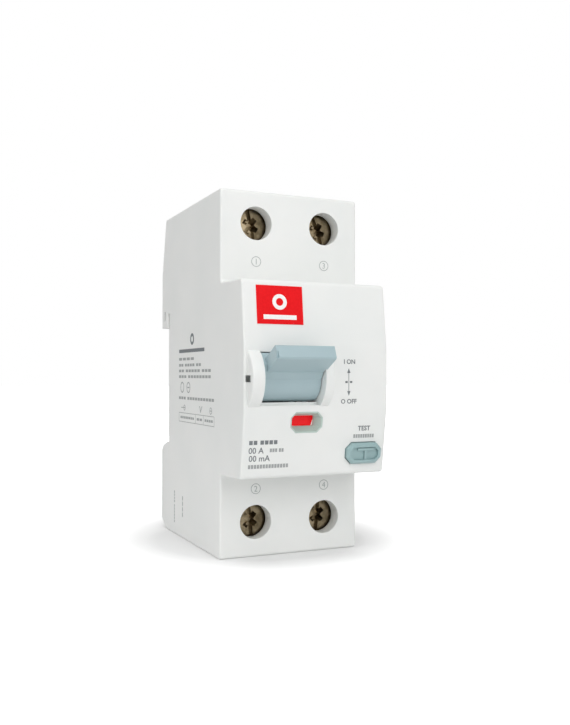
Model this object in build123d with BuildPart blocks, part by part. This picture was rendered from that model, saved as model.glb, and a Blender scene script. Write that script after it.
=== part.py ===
"""Two-pole residual current device for a 35 mm mounting rail.

Millimetres. +Z runs up the face of the device, -Y is the front and +X is to the right when it is seen
from the front. The origin is the centre of the flat that rests on the rail.
"""

from build123d import *
import os
from math import cos, radians, sin, sqrt

os.makedirs("parts", exist_ok=True)

# Overall sizes
module_width = 18.0
pole_count = 2
top_end = 44.5
bottom_end = -42.0
seat_to_shoulder = 41.0
seat_to_back = 7.0
nose_height = 44.8
nose_draft = 0.45
nose_rise_top = 13.2
nose_rise_crest = 14.8
nose_rise_bottom = 12.9
crest_top = 7.0
crest_bottom = -7.5
crest_round = 12.0
nose_edge_round = 1.0
shell_edge_round = 0.5
shoulder_edge_round = 0.8
nose_root_round = 0.9

# Walls
side_wall = 1.6
nose_wall = 1.8
shoulder_wall = 3.5
end_wall = 2.0
rail_wall = 2.0
partition = 1.6

# Mounting rail notch
rail_height = 35.0
rail_thickness = 1.4
rail_play = 0.4
seat_relief = 0.25
hook_reach = 3.9
hook_relief = 0.2
catch_reach = 1.5
lower_flare = (5.1, 1.2)
back_slope_top = (3.6, 15.5)
back_slope_bottom = (4.0, 2.5)
flexure_slot = (1.0, 2.6)
flexure_bridge = (3.5, 2.0)

# Terminals
terminal_pitch = module_width
terminal_inset_top = 7.7
terminal_inset_bottom = 8.2
access_hole_radius = 4.0
pocket_width = 11.0
pocket_floor = -9.0
pocket_run = 14.5
cable_window = 7.6
cable_center = -18.5
strip_thickness = 1.5
strip_width = 7.0
strip_front = -24.0
screw_radius = 2.5
screw_head_radius = 4.3
screw_head_height = 3.4
screw_head_gap = 0.3
screw_slot = (1.1, 1.5)
screw_cross = (0.9, 6.2)
thread_clearance = 0.05
tip_gap = 0.1
cage_wall = 1.2
cage_front_wall = 2.0
cage_rear_wall = 1.5
cage_width = 10.4
cage_depth = 6.4
cage_end_gap = 0.1
cage_window_gap = 0.2
head_chamfer = 0.35
cross_step = 0.4
strip_end_gap = 0.6
strip_past_contact = 2.5
strip_core_gap = 0.6

# Handle
handle_left = -14.2
handle_right = 0.1
handle_gap = 0.2
window_margin = 0.75
pivot_behind_crest = 3.9
barrel_radius = 5.15
cheek_rim = 2.15
cheek_edge_round = 0.4
cheek_left_wall = 2.8
cheek_right_wall = 2.3
lever_inset = 0.7
handle_pin_radius = 1.2
pin_clearance = 0.05
seal_slot = (4.1, 1.5)
seal_slot_rim = 1.6
seal_slot_side = 0.4
window_lip = 1.2
lower_lip_end = 1.2
barrel_shield = 1.4
barrel_shield_gap = 0.1
ledge_notch_x = (-0.1, 0.45)
ledge_notch_y = (-12.5, -10.95)
ledge_notch_z = (4.4, 5.9)
ledge_overhang = 0.45
overhang_gap = 0.3
overhang_angles = (141.3, 164.2)
ledge_edge_round = 0.3
ledge_root_round = 3.0
link_slot_margin = 0.3
link_slot_top = 2.2
crank_radius = 5.6
crank_angle = -80.0
crank_eye_radius = 1.9
crank_ear = 1.2
crank_center_x = -3.5
link_thickness = 1.2
link_pin_radius = 0.9
link_eye_radius = 1.9
link_slack = 0.5
link_side_gap = 0.4
link_width = 2.2
link_eye_wall = 1.0
handle_spring_room = (1.6, 4.6)
handle_spring_pocket = 2.9
handle_spring_size = (2.2, 0.5, 3)
spring_end_gap = 0.45

# Contact carrier
carrier_y = -20.0
carrier_z = 3.0
carrier_hub_radius = 4.0
carrier_side_gap = 0.6
shaft_radius = 1.5
boss_radius = 3.2
boss_height = 0.8
carrier_crank_radius = 8.6
carrier_crank_angle = -100.0
carrier_web = 1.2
carrier_disc_gap = 0.5
carrier_ear_root = 3.2
carrier_slot = (6.0, -8.0, -3.0)
spring_seat_run = 6.7
spring_seat_drop = 5.0
spring_seat_half = 2.0
spring_seat_thickness = 1.2
spring_seat_lap = 1.6
neck_width = 4.6
neck_radius = 2.3
opening_spring_size = (3.0, 0.6, 4)
opening_spring_gap = 0.5
contact_spring_size = (1.5, 0.4, 5)
contact_spring_gap = 0.25
arm_width = 4.0
arm_thickness = 1.5
arm_disc_radius = 4.5
arm_tail = 8.2
arm_tail_half = 1.8
arm_past_contact = 2.2
arm_root = (6.5, 4.5)
contact_z = 18.0
contact_tip = 1.0
contact_tip_radius = 1.8
contact_gap_closed = 0.02
arm_slot_gap = 0.1
divider_half = 0.5
divider_gap = 0.3
divider_clear = 2.5

# Differential transformer
core_center = (0.0, -16.0, -15.0)
core_outer_radius = 11.2
core_inner_radius = 6.8
core_height = 6.4
case_wall = 0.8
winding_thickness = 0.7
winding_turns = 30
winding_skin = 0.35
winding_rib = 0.8
conductor_radius = 1.1
conductor_x = 1.9
conductor_behind_core = 3.0
conductor_step = 3.0
conductor_joint_rise = 9.0
conductor_core_gap = 0.5
conductor_bend = 1.5
braid_radius = 0.8
braid_bend = 2.0
braid_gap = 0.1

# Trip relay
relay_x = (1.5, 14.5)
relay_y = (-37.0, -29.8)
relay_z = (-10.0, 0.0)
plunger_x = 3.2
plunger_y = -34.0
plunger_radius = 0.9
plunger_bore_gap = 0.05
plunger_foot_gap = 0.2
plunger_tip_gap = 0.1
trip_pivot = (-29.0, 5.0)
trip_pin_radius = 0.6
relay_corner = 0.5
relay_ear = 0.8
relay_ear_gap = 0.4
relay_ear_half = 1.2
relay_ear_root = (4.0, 0.4)
lever_half = 1.0
lever_drop = 1.8
lever_thickness = 1.4
lever_past_plunger = 1.5
lever_arm = (0.8, 0.6)
lever_arm_z = (-1.0, 7.0)
lever_hub = 1.5
lead_inset = (5.0, 3.0)
lead_run = 2.4
lead_rise = 3.0
lead_bend = 1.0
lead_radius = 0.35

# Test circuit and indicator
button_center = (12.1, -17.1)
button_size = (9.0, 4.8, 1.4)
button_rise = 1.2
button_travel = 1.4
button_gap = 0.15
button_flange = (0.8, 0.4)
button_depth = 3.6
button_chamfer = 0.45
button_rim = 0.95
button_dish = 0.6
letter_bar = (4.2, 0.55)
letter_stem = (0.6, 2.3)
letter_place = (0.3, 0.95, -0.3)
letter_height = 0.45
flange_thickness = 1.0
flange_gap = 0.1
stem_radius = 1.0
stem_run = 1.8
stem_lap = 0.5
contact_gap = 0.1
test_spring_size = (1.7, 0.3, 5)
test_spring_gap = 0.2
test_contact_size = (6.0, 4.4, 0.4)
bracket_size = (0.8, 5.0, 1.0)
resistor_front = 1.0
resistor_z = -13.0
resistor_x = (7.0, 14.0)
resistor_lead_x = (5.0, 16.0)
resistor_radii = (1.4, 0.3)
resistor_round = 0.5
flag_window = (-2.75, -9.75)
bezel_size = (8.0, 4.8, 1.3)
bezel_inner = (5.4, 2.4)
bezel_depth = 2.6
bezel_recess = 0.1
bezel_rim = 0.25
bezel_throat_cut = 0.3
bezel_throat = 0.5
flag_pivot_drop = 8.0
flag_radii = (5.9, 9.85)
flag_angles = (-21.0, 62.0)
flag_y = (-52.1, -51.5)
flag_middle = 15.0
flag_pin_radius = 0.9
flag_pin_root = 1.0
flag_pin_past = 1.4
flag_hub = 1.8
flag_arm = (2.0, 0.6)

# Front label
label_x = (-14.7, -3.5)
label_z = (12.0, 20.65)
label_thickness = 0.1

# Rail clip
clip_half_width = 5.5
clip_flange_half_width = 7.0
clip_gap = 0.3
clip_floor = 0.9
clip_flange_thickness = 2.0
clip_window_half = 2.4
clip_window_z = (-34.0, -22.0)
clip_lug_thickness = 1.7
clip_spring_size = (1.5, 0.5, 6)
clip_spring_gap = 0.25
clip_lug_half = 1.5
clip_lug_front = 0.5
clip_lug_back = 1.5
clip_inset = 0.4
clip_foot = 2.0
tongue_gap = 0.2
tongue_tip = 0.8
tongue_root = 3.4
clip_slot_half = 2.2
clip_slot_z = (1.4, 3.0)

# Cover screws
cover_screw_radius = 1.5
cover_screw_head = (2.8, 2.0)
cover_screw_seat = -7.0
cover_boss_radius = 3.0
cover_boss_depth = 6.5
cover_boss_gap = 0.15
cover_boss_root = 0.5
cover_screw_gap = 0.1
cover_head_gap = 0.4
cover_screw_inset = 0.8
cover_screw_tip = 1.5
cover_screw_cross = (0.4, 2.0, 1.0)

# Derived places
width = module_width * pole_count
half_width = width / 2
shoulder = -seat_to_shoulder
back = seat_to_back
seam = shoulder + shoulder_wall
crest = shoulder - nose_rise_crest
nose_top = shoulder - nose_rise_top
nose_bottom = shoulder - nose_rise_bottom
nose_half = nose_height / 2
nose_front_half = nose_half - nose_draft
rail_half = rail_height / 2
groove_top = rail_half + rail_play
hook_tip = groove_top - hook_reach
notch_bottom = -rail_half - hook_relief
catch_top = notch_bottom + catch_reach
terminal_x = terminal_pitch / 2
terminal_top = top_end - terminal_inset_top
terminal_bottom = bottom_end + terminal_inset_bottom
pocket_half = pocket_width / 2
top_partition = top_end - end_wall - pocket_run
bottom_partition = bottom_end + end_wall + pocket_run
cavity_top = top_partition - partition
cavity_bottom = bottom_partition + partition
pivot_y = crest + pivot_behind_crest
handle_window_half = barrel_radius + window_margin
cheek_radius = barrel_radius + cheek_rim
window_left = handle_left - handle_gap
window_right = handle_right + handle_gap
strip_back = strip_front + strip_thickness
screw_head_front = seam + screw_head_gap
screw_head_back = screw_head_front + screw_head_height
cage_front = strip_front - tip_gap - cage_front_wall - cage_end_gap
cage_back = cable_center + cable_window / 2 + cage_window_gap + cage_rear_wall
winding_low = core_center[2] - core_height / 2 - case_wall - winding_thickness
clip_back = back - clip_inset
clip_bottom = bottom_end + clip_inset
cover_screw_top = terminal_top
cover_screw_bottom = bottom_end + end_wall / 2 + cover_boss_radius + cover_screw_inset


def block(x, y, z, mode=Mode.ADD):
    """A box between two places on each axis, in the part being built."""
    middle = ((x[0] + x[1]) / 2, (y[0] + y[1]) / 2, (z[0] + z[1]) / 2)
    with Locations(middle):
        Box(x[1] - x[0], y[1] - y[0], z[1] - z[0], mode=mode)


def rod_x(y, z, radius, x, mode=Mode.ADD):
    """A round bar along X from x[0] to x[1]."""
    with Locations(Location(((x[0] + x[1]) / 2, y, z), (0, 90, 0))):
        Cylinder(radius, x[1] - x[0], mode=mode)


def rod_y(x, z, radius, y, mode=Mode.ADD):
    """A round bar along Y from y[0] to y[1]."""
    with Locations(Location((x, (y[0] + y[1]) / 2, z), (90, 0, 0))):
        Cylinder(radius, y[1] - y[0], mode=mode)


def rod_z(x, y, radius, z, mode=Mode.ADD):
    """A round bar along Z from z[0] to z[1]."""
    with Locations((x, y, (z[0] + z[1]) / 2)):
        Cylinder(radius, z[1] - z[0], mode=mode)


def turned(center, radius, angle):
    """The (y, z) point at a radius and an angle, in degrees, about a centre."""
    return (center[0] + radius * cos(radians(angle)), center[1] + radius * sin(radians(angle)))


def octagon(size):
    """Corner points of a rectangle of width and height whose corners are cut off."""
    half_x = size[0] / 2
    half_y = size[1] / 2
    cut = size[2]
    quarter = [(half_x, half_y - cut), (half_x - cut, half_y)]
    points = quarter + [(-x, y) for x, y in reversed(quarter)]
    return points + [(-x, -y) for x, y in points]


def grown(size, margin):
    """An octagon's size with every side moved out by a margin."""
    return (size[0] + 2 * margin, size[1] + 2 * margin, size[2] + margin * (2 - sqrt(2)))


def save(part, name):
    """Labels a finished piece and writes it."""
    part.label = name
    export_step(part, "parts/" + name + ".step")


def nose_y(z):
    """The y of the nose's front at a height, on its flat upper, middle or lower stretch."""
    if z > crest_top:
        return crest + (nose_top - crest) * (z - crest_top) / (nose_front_half - crest_top)
    if z < crest_bottom:
        return crest + (nose_bottom - crest) * (crest_bottom - z) / (crest_bottom + nose_front_half)
    return crest


def nose_plane(x, z):
    """The plane lying on the nose's front at a place, facing out, its y axis running up the nose."""
    slope = (nose_y(z + 1) - nose_y(z - 1)) / 2
    return Plane(origin=(x, nose_y(z), z), x_dir=(1, 0, 0), z_dir=(0, -1, slope))


button_plane = nose_plane(button_center[0], button_center[1])
window_plane = nose_plane(flag_window[0], flag_window[1])
handle_center = (pivot_y, 0.0)
carrier_center = (carrier_y, carrier_z)
crank_pin = turned(handle_center, crank_radius, crank_angle)
carrier_pin = turned(carrier_center, carrier_crank_radius, carrier_crank_angle)

cover_outline = [
    (seam, top_end),
    (shoulder, top_end),
    (shoulder, nose_half),
    (nose_top, nose_front_half),
    (crest, crest_top),
    (crest, crest_bottom),
    (nose_bottom, -nose_front_half),
    (shoulder, -nose_half),
    (shoulder, bottom_end),
    (seam, bottom_end),
]
base_outline = [
    (seam, top_end),
    (back - back_slope_top[0], top_end),
    (back, top_end - back_slope_top[1]),
    (back, hook_tip),
    (rail_thickness, hook_tip),
    (rail_thickness, groove_top),
    (-seat_relief, groove_top),
    (-seat_relief, hook_tip - hook_relief),
    (0.0, hook_tip - hook_relief),
    (0.0, catch_top + hook_relief),
    (-seat_relief, catch_top + hook_relief),
    (-seat_relief, notch_bottom),
    (rail_thickness, notch_bottom),
    (lower_flare[0], notch_bottom - lower_flare[1]),
    (back, notch_bottom - lower_flare[1] - (back - lower_flare[0])),
    (back, bottom_end + back_slope_bottom[1]),
    (back - back_slope_bottom[0], bottom_end),
    (seam, bottom_end),
]


def near(vertex, places, reach=0.01):
    """Whether a sketch vertex lies on one of the listed places."""
    return any(abs(vertex.X - a) < reach and abs(vertex.Y - b) < reach for a, b in places)


def side_edges(part):
    """The edges of both side faces of a shell."""
    faces = part.faces().filter_by(Axis.X).sort_by(Axis.X)
    return faces[0].edges() + faces[-1].edges()


def on_cover_front(edge):
    """Whether an edge is forward of the seam between the shells."""
    return edge.center().Y < seam - 0.01


def on_base_ends(edge):
    """Whether an edge is a long one of the base, behind the seam and outside the rail notch."""
    middle = edge.center()
    outside = middle.Z > hook_tip + 1 or middle.Z < notch_bottom - lower_flare[1] - 1
    return middle.Y > seam + 0.01 and outside and edge.length > shell_edge_round * 5


def on_cheek_rim(edge):
    """Whether an edge is the round rim of one of the cheeks, in front of the nose."""
    middle = edge.center()
    outer_faces = (window_left - cheek_left_wall, window_right + cheek_right_wall)
    outer = any(abs(middle.X - x) < 0.01 for x in outer_faces)
    return outer and edge.geom_type == GeomType.CIRCLE and middle.Y < crest


# Front cover: both shoulders, the nose and the two cheeks that the handle turns between
with BuildPart() as front_cover:
    with BuildSketch(Plane.YZ.offset(-half_width)) as cover_profile:
        Polygon(cover_outline, align=None)
        fillet([v for v in cover_profile.vertices() if near(v, cover_outline[4:6])], crest_round)
        fillet(
            [v for v in cover_profile.vertices() if near(v, (cover_outline[3], cover_outline[6]))],
            nose_edge_round,
        )
        fillet(
            [v for v in cover_profile.vertices() if near(v, (cover_outline[1], cover_outline[8]))],
            shoulder_edge_round,
        )
        fillet(
            [v for v in cover_profile.vertices() if near(v, (cover_outline[2], cover_outline[7]))],
            nose_root_round,
        )
    extrude(amount=width)
    fillet(side_edges(front_cover).filter_by(on_cover_front), shell_edge_round)
    with BuildSketch(Plane.YZ.offset(side_wall - half_width)) as cover_hollow:
        Polygon([(seam + nose_wall, nose_half)] + cover_outline[2:8] + [(seam + nose_wall, -nose_half)],
                align=None)
        offset(amount=-nose_wall, mode=Mode.REPLACE)
    extrude(amount=width - 2 * side_wall, mode=Mode.SUBTRACT)
    for lower, upper in (
        (window_left - cheek_left_wall, window_left),
        (window_right, window_right + cheek_right_wall),
    ):
        rod_x(pivot_y, 0, cheek_radius, (lower, upper))
    fillet(front_cover.edges().filter_by(on_cheek_rim), cheek_edge_round)
    block((window_left, window_right), (crest - 1, pivot_y), (-handle_window_half, handle_window_half),
          mode=Mode.SUBTRACT)
    rod_x(pivot_y, 0, handle_pin_radius,
          (window_left - cheek_left_wall / 2, window_right + cheek_right_wall / 2), mode=Mode.SUBTRACT)
    block((window_left, window_right), (crest + shell_edge_round, pivot_y),
          (handle_window_half, handle_window_half + window_lip))
    block((window_left, window_right), (crest + shell_edge_round, pivot_y - lower_lip_end),
          (-handle_window_half - window_lip, -handle_window_half))
    block((window_left, window_right), (pivot_y - lower_lip_end - barrel_shield, pivot_y - lower_lip_end),
          (-handle_window_half - window_lip, -barrel_radius - barrel_shield_gap))
    seal_front = pivot_y - cheek_radius + seal_slot_rim
    block((window_left - cheek_left_wall - seal_slot_side, window_left + 1),
          (seal_front, seal_front + seal_slot[0]), (-seal_slot[1] / 2, seal_slot[1] / 2),
          mode=Mode.SUBTRACT)
    for x in (-terminal_x, terminal_x):
        for z in (terminal_top, terminal_bottom):
            rod_y(x, z, access_hole_radius, (shoulder - 1, seam + 1), mode=Mode.SUBTRACT)
    with BuildSketch(button_plane.offset(1)) as button_hole:
        Polygon(octagon(grown(button_size, button_gap)), align=None)
    extrude(amount=-(1 + button_depth + button_travel + button_gap), mode=Mode.SUBTRACT)
    with BuildSketch(window_plane.offset(1)) as bezel_hole:
        Polygon(octagon(bezel_size), align=None)
    extrude(amount=-(nose_wall + 2), mode=Mode.SUBTRACT)
    for z in (cover_screw_top, cover_screw_bottom):
        rod_y(0, z, cover_boss_radius, (seam - cover_boss_root, seam + cover_boss_depth))
        rod_y(0, z, cover_screw_radius, (shoulder + cover_screw_tip, seam + cover_boss_depth),
              mode=Mode.SUBTRACT)
    flag_pin_z = flag_window[1] - flag_pivot_drop
    rod_y(flag_window[0], flag_pin_z, flag_pin_radius,
          (nose_y(flag_pin_z) + flag_pin_root, flag_y[1] + flag_pin_past))
save(front_cover.part, "front_cover")

# Base: the rear shell with the rail notch, the terminal pockets and the mechanism cavity
with BuildPart() as housing_base:
    with BuildSketch(Plane.YZ.offset(-half_width)) as base_profile:
        Polygon(base_outline, align=None)
    extrude(amount=width)
    fillet(side_edges(housing_base).filter_by(on_base_ends), shell_edge_round)
    block((side_wall - half_width, half_width - side_wall), (seam - 1, -rail_wall),
          (cavity_bottom, cavity_top), mode=Mode.SUBTRACT)
    for x in (-terminal_x, terminal_x):
        for low, high in (
            (top_partition, top_end - end_wall),
            (bottom_end + end_wall, bottom_partition),
        ):
            block((x - pocket_half, x + pocket_half), (seam - 1, pocket_floor), (low, high),
                  mode=Mode.SUBTRACT)
        for low, high in (
            (top_end - end_wall - 1, top_end + 1),
            (bottom_end - 1, bottom_end + end_wall + 1),
        ):
            block((x - cable_window / 2, x + cable_window / 2),
                  (cable_center - cable_window / 2, cable_center + cable_window / 2), (low, high),
                  mode=Mode.SUBTRACT)
        for low, high in ((cavity_top - 1, top_partition + 1), (bottom_partition - 1, cavity_bottom + 1)):
            block((x - strip_width / 2, x + strip_width / 2), (seam - 1, strip_back), (low, high),
                  mode=Mode.SUBTRACT)
    for side in (-1, 1):
        inner = side * (half_width - side_wall)
        ends = sorted((inner, inner - side * boss_height))
        rod_x(carrier_y, carrier_z, boss_radius, ends)
        bore = sorted((inner + side * side_wall / 2, inner - side * (boss_height + 1)))
        rod_x(carrier_y, carrier_z, shaft_radius, bore, mode=Mode.SUBTRACT)
    slot_front = back - flexure_bridge[0]
    slot_low = hook_tip + flexure_bridge[1]
    block((-half_width - 1, half_width + 1), (slot_front, slot_front + flexure_slot[0]),
          (slot_low, slot_low + flexure_slot[1]), mode=Mode.SUBTRACT)
    for z in (cover_screw_top, cover_screw_bottom):
        rod_y(0, z, cover_boss_radius + cover_boss_gap, (seam - 1, seam + cover_boss_depth + cover_boss_gap),
              mode=Mode.SUBTRACT)
        rod_y(0, z, cover_screw_radius + cover_screw_gap, (seam, cover_screw_seat), mode=Mode.SUBTRACT)
        rod_y(0, z, cover_screw_head[0] + cover_head_gap, (cover_screw_seat - cover_screw_head[1], back + 1),
              mode=Mode.SUBTRACT)
    channel_half = clip_flange_half_width + clip_gap
    block((-channel_half, channel_half), (clip_floor, clip_floor + clip_flange_thickness + 2 * clip_gap),
          (bottom_end - 1, notch_bottom + 1), mode=Mode.SUBTRACT)
    block((-clip_half_width - clip_gap, clip_half_width + clip_gap), (clip_floor, back + 1),
          (bottom_end - 1, notch_bottom + 1), mode=Mode.SUBTRACT)
    lug_bottom = clip_window_z[0] + clip_gap
    block((-clip_lug_half, clip_lug_half), (clip_floor - clip_lug_front, clip_back - clip_lug_back),
          (lug_bottom, lug_bottom + clip_lug_thickness))
save(housing_base.part, "housing_base")

# Cover screws, driven from the back into the two bosses of the cover
with BuildPart() as cover_screws:
    for z in (cover_screw_top, cover_screw_bottom):
        rod_y(0, z, cover_screw_head[0], (cover_screw_seat, cover_screw_seat + cover_screw_head[1]))
        rod_y(0, z, cover_screw_radius, (shoulder + cover_screw_tip, cover_screw_seat))
        slot_back = cover_screw_seat + cover_screw_head[1]
        cross_half, cross_reach, cross_depth = cover_screw_cross
        cross_y = (slot_back - cross_depth, slot_back + 1)
        block((-cross_half, cross_half), cross_y, (z - cross_reach, z + cross_reach), mode=Mode.SUBTRACT)
        block((-cross_reach, cross_reach), cross_y, (z - cross_half, z + cross_half), mode=Mode.SUBTRACT)
save(cover_screws.part, "cover_screws")

# Front label, stuck on the upper slope of the nose
with BuildPart() as front_label:
    with BuildSketch(nose_plane((label_x[0] + label_x[1]) / 2, (label_z[0] + label_z[1]) / 2)):
        Rectangle(label_x[1] - label_x[0], label_z[1] - label_z[0])
    extrude(amount=label_thickness)
save(front_label.part, "front_label")

# Handle: a barrel with the finger ledge, two crank ears and a pocket for its spring
spring_pocket = (handle_left + handle_spring_room[0], handle_left + handle_spring_room[1])
ears_x = (
    (crank_center_x - link_thickness / 2 - link_side_gap - crank_ear,
     crank_center_x - link_thickness / 2 - link_side_gap),
    (crank_center_x + link_thickness / 2 + link_side_gap,
     crank_center_x + link_thickness / 2 + link_side_gap + crank_ear),
)
ledge_outline = [
    (pivot_y + 1.0, 1.0),
    (pivot_y - 4.1, 3.75),
    (pivot_y - 10.5, 7.25),
    (pivot_y - 11.55, 4.65),
    (pivot_y - 11.3, 4.2),
    (pivot_y - barrel_radius + 0.1, 0.85),
    (pivot_y - barrel_radius + 0.1, -1.0),
    (pivot_y - 1.0, -2.0),
]
overhang_inner = [turned(handle_center, cheek_radius + overhang_gap, angle) for angle in overhang_angles]
overhang_outline = overhang_inner[:1] + ledge_outline[2:5] + overhang_inner[1:]
root_outline = [
    (pivot_y + 0.5, barrel_radius - 0.3),
    (pivot_y - 4.3, handle_window_half - 0.25),
    (pivot_y - 6.3, 3.0),
    (pivot_y - 6.2, 1.2),
    (pivot_y - barrel_radius + 0.1, -0.3),
    (pivot_y - 1.0, -2.0),
]
with BuildPart() as handle:
    rod_x(pivot_y, 0, barrel_radius, (handle_left, handle_right))
    with BuildSketch(Plane.YZ.offset(handle_left + lever_inset)) as ledge:
        Polygon(ledge_outline, align=None)
        fillet([v for v in ledge.vertices() if near(v, ledge_outline[2:3])], ledge_edge_round)
        fillet([v for v in ledge.vertices() if near(v, ledge_outline[5:6])], ledge_root_round)
    extrude(amount=handle_right - handle_left - lever_inset)
    with BuildSketch(Plane.YZ.offset(handle_right)) as overhang:
        Polygon(overhang_outline, align=None)
        fillet([v for v in overhang.vertices() if near(v, ledge_outline[2:3])], ledge_edge_round)
    extrude(amount=ledge_overhang)
    with BuildSketch(Plane.YZ.offset(handle_left)):
        Polygon(root_outline, align=None)
    extrude(amount=handle_right - handle_left)
    ledge_left = handle_left + lever_inset
    block((ledge_left + ledge_notch_x[0], ledge_left + ledge_notch_x[1]),
          (pivot_y + ledge_notch_y[0], pivot_y + ledge_notch_y[1]), ledge_notch_z, mode=Mode.SUBTRACT)
    for ear in ears_x:
        rod_x(crank_pin[0], crank_pin[1], crank_eye_radius, ear)
    slot_x = (ears_x[0][1], ears_x[1][0])
    block(slot_x, (crank_pin[0] - crank_eye_radius - link_slot_margin, pivot_y + barrel_radius + 1),
          (-barrel_radius - crank_eye_radius - 1, -handle_pin_radius - link_slot_top), mode=Mode.SUBTRACT)
    rod_x(crank_pin[0], crank_pin[1], link_pin_radius, (ears_x[0][0], ears_x[1][1]), mode=Mode.SUBTRACT)
    rod_x(pivot_y, 0, handle_pin_radius + pin_clearance, (handle_left, handle_right), mode=Mode.SUBTRACT)
    rod_x(pivot_y, 0, handle_spring_pocket, spring_pocket, mode=Mode.SUBTRACT)
    block(spring_pocket, (pivot_y, pivot_y + barrel_radius + 1),
          (-handle_spring_pocket, handle_spring_pocket), mode=Mode.SUBTRACT)
save(handle.part, "handle")

with BuildPart() as handle_pin:
    rod_x(pivot_y, 0, handle_pin_radius,
          (window_left - cheek_left_wall / 2, window_right + cheek_right_wall / 2))
save(handle_pin.part, "handle_pin")


def wound_spring(center, direction, size, length):
    """A coil that starts at a centre and runs along a direction; its size is its radius, wire and turns."""
    radius, wire, turns = size
    with BuildPart() as spring:
        with BuildLine() as path:
            Helix(length / turns, length, radius, center=center, direction=direction)
        with BuildSketch(Plane(origin=path.line @ 0, z_dir=path.line % 0)):
            Circle(wire / 2)
        sweep(is_frenet=True)
    return spring.part


spring_room = spring_pocket[1] - spring_pocket[0] - 2 * spring_end_gap
save(wound_spring((spring_pocket[0] + spring_end_gap, pivot_y, 0), (1, 0, 0), handle_spring_size,
                  spring_room), "handle_spring")

# Drive link: a flat steel bar with an eye at each end; the far eye has room for the arc of the crank
link_x = (crank_center_x - link_thickness / 2, crank_center_x + link_thickness / 2)
far_hole = link_pin_radius + link_slack
far_eye = far_hole + link_eye_wall
link_run = (carrier_pin[0] - crank_pin[0], carrier_pin[1] - crank_pin[1])
link_length = sqrt(link_run[0] ** 2 + link_run[1] ** 2)
link_plane = Plane(origin=(link_x[0], crank_pin[0], crank_pin[1]), x_dir=(0, link_run[0], link_run[1]),
                   z_dir=(1, 0, 0))
with BuildPart() as drive_link:
    with BuildSketch(link_plane) as link_outline:
        Circle(link_eye_radius)
        with Locations((link_length / 2, 0)):
            Rectangle(link_length, link_width)
        with Locations((link_length, 0)):
            Circle(far_eye)
            Circle(far_hole, mode=Mode.SUBTRACT)
        Circle(link_pin_radius + pin_clearance, mode=Mode.SUBTRACT)
    extrude(amount=link_thickness)
save(drive_link.part, "drive_link")

for name, place in (("handle_crank_pin", crank_pin), ("carrier_crank_pin", carrier_pin)):
    with BuildPart() as crank_pin_part:
        rod_x(place[0], place[1], link_pin_radius, (ears_x[0][0], ears_x[1][1]))
    save(crank_pin_part.part, name)

# Contact carrier: the moulded rotor that swings both contact arms
fixed_tip_front = strip_front - contact_tip
moving_tip_front = fixed_tip_front - contact_gap_closed - contact_tip
arm_front = moving_tip_front - arm_thickness
hub_end = half_width - side_wall - boss_height - carrier_side_gap
slot_half = arm_width / 2 + arm_slot_gap
seat_front = arm_front - spring_seat_run
spring_z = contact_z - spring_seat_drop
web_outline = [
    (carrier_y - 3.9, carrier_z - 0.4),
    (seat_front, spring_z - spring_seat_half),
    (seat_front, spring_z + spring_seat_half),
    (seat_front + spring_seat_lap, spring_z + spring_seat_half),
    (carrier_y, carrier_z + 3.9),
    (carrier_y, carrier_z),
]
with BuildPart() as contact_carrier:
    rod_x(carrier_y, carrier_z, carrier_hub_radius, (-hub_end, hub_end))
    for x in (-terminal_x, terminal_x):
        rod_x(carrier_y, carrier_z, arm_disc_radius + carrier_disc_gap, (x - slot_half, x + slot_half),
              mode=Mode.SUBTRACT)
        for low in (x - slot_half - carrier_web, x + slot_half):
            with BuildSketch(Plane.YZ.offset(low)) as web_profile:
                Polygon(web_outline, align=None)
            extrude(amount=carrier_web)
        block((x - slot_half - carrier_web, x + slot_half + carrier_web),
              (seat_front, seat_front + spring_seat_thickness),
              (spring_z - spring_seat_half, spring_z + spring_seat_half))
    for ear in ears_x:
        with BuildSketch(Plane.YZ.offset(ear[0])) as carrier_ear:
            Polygon([(carrier_y - carrier_ear_root, carrier_z),
                     (carrier_pin[0] - link_eye_radius, carrier_pin[1]),
                     (carrier_pin[0] + link_eye_radius, carrier_pin[1]),
                     (carrier_y + carrier_ear_root, carrier_z)], align=None)
            with Locations(carrier_pin):
                Circle(link_eye_radius)
        extrude(amount=crank_ear)
    block(slot_x, (carrier_y - carrier_slot[0], carrier_y + carrier_slot[0]),
          (carrier_z + carrier_slot[1], carrier_z + carrier_slot[2]), mode=Mode.SUBTRACT)
    rod_x(carrier_pin[0], carrier_pin[1], link_pin_radius, (ears_x[0][0], ears_x[1][1]), mode=Mode.SUBTRACT)
    with BuildSketch(Plane.YZ) as neck:
        with Locations(carrier_center):
            Circle(carrier_hub_radius + 1)
            Circle(neck_radius, mode=Mode.SUBTRACT)
    extrude(amount=neck_width, mode=Mode.SUBTRACT)
    rod_x(carrier_y, carrier_z, shaft_radius + pin_clearance, (-hub_end, hub_end), mode=Mode.SUBTRACT)
save(contact_carrier.part, "contact_carrier")

shaft_end = half_width - side_wall / 2
with BuildPart() as carrier_shaft:
    rod_x(carrier_y, carrier_z, shaft_radius, (-shaft_end, shaft_end))
save(carrier_shaft.part, "carrier_shaft")

save(wound_spring((opening_spring_gap, carrier_y, carrier_z), (1, 0, 0), opening_spring_size,
                  neck_width - 2 * opening_spring_gap), "opening_spring")

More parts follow.
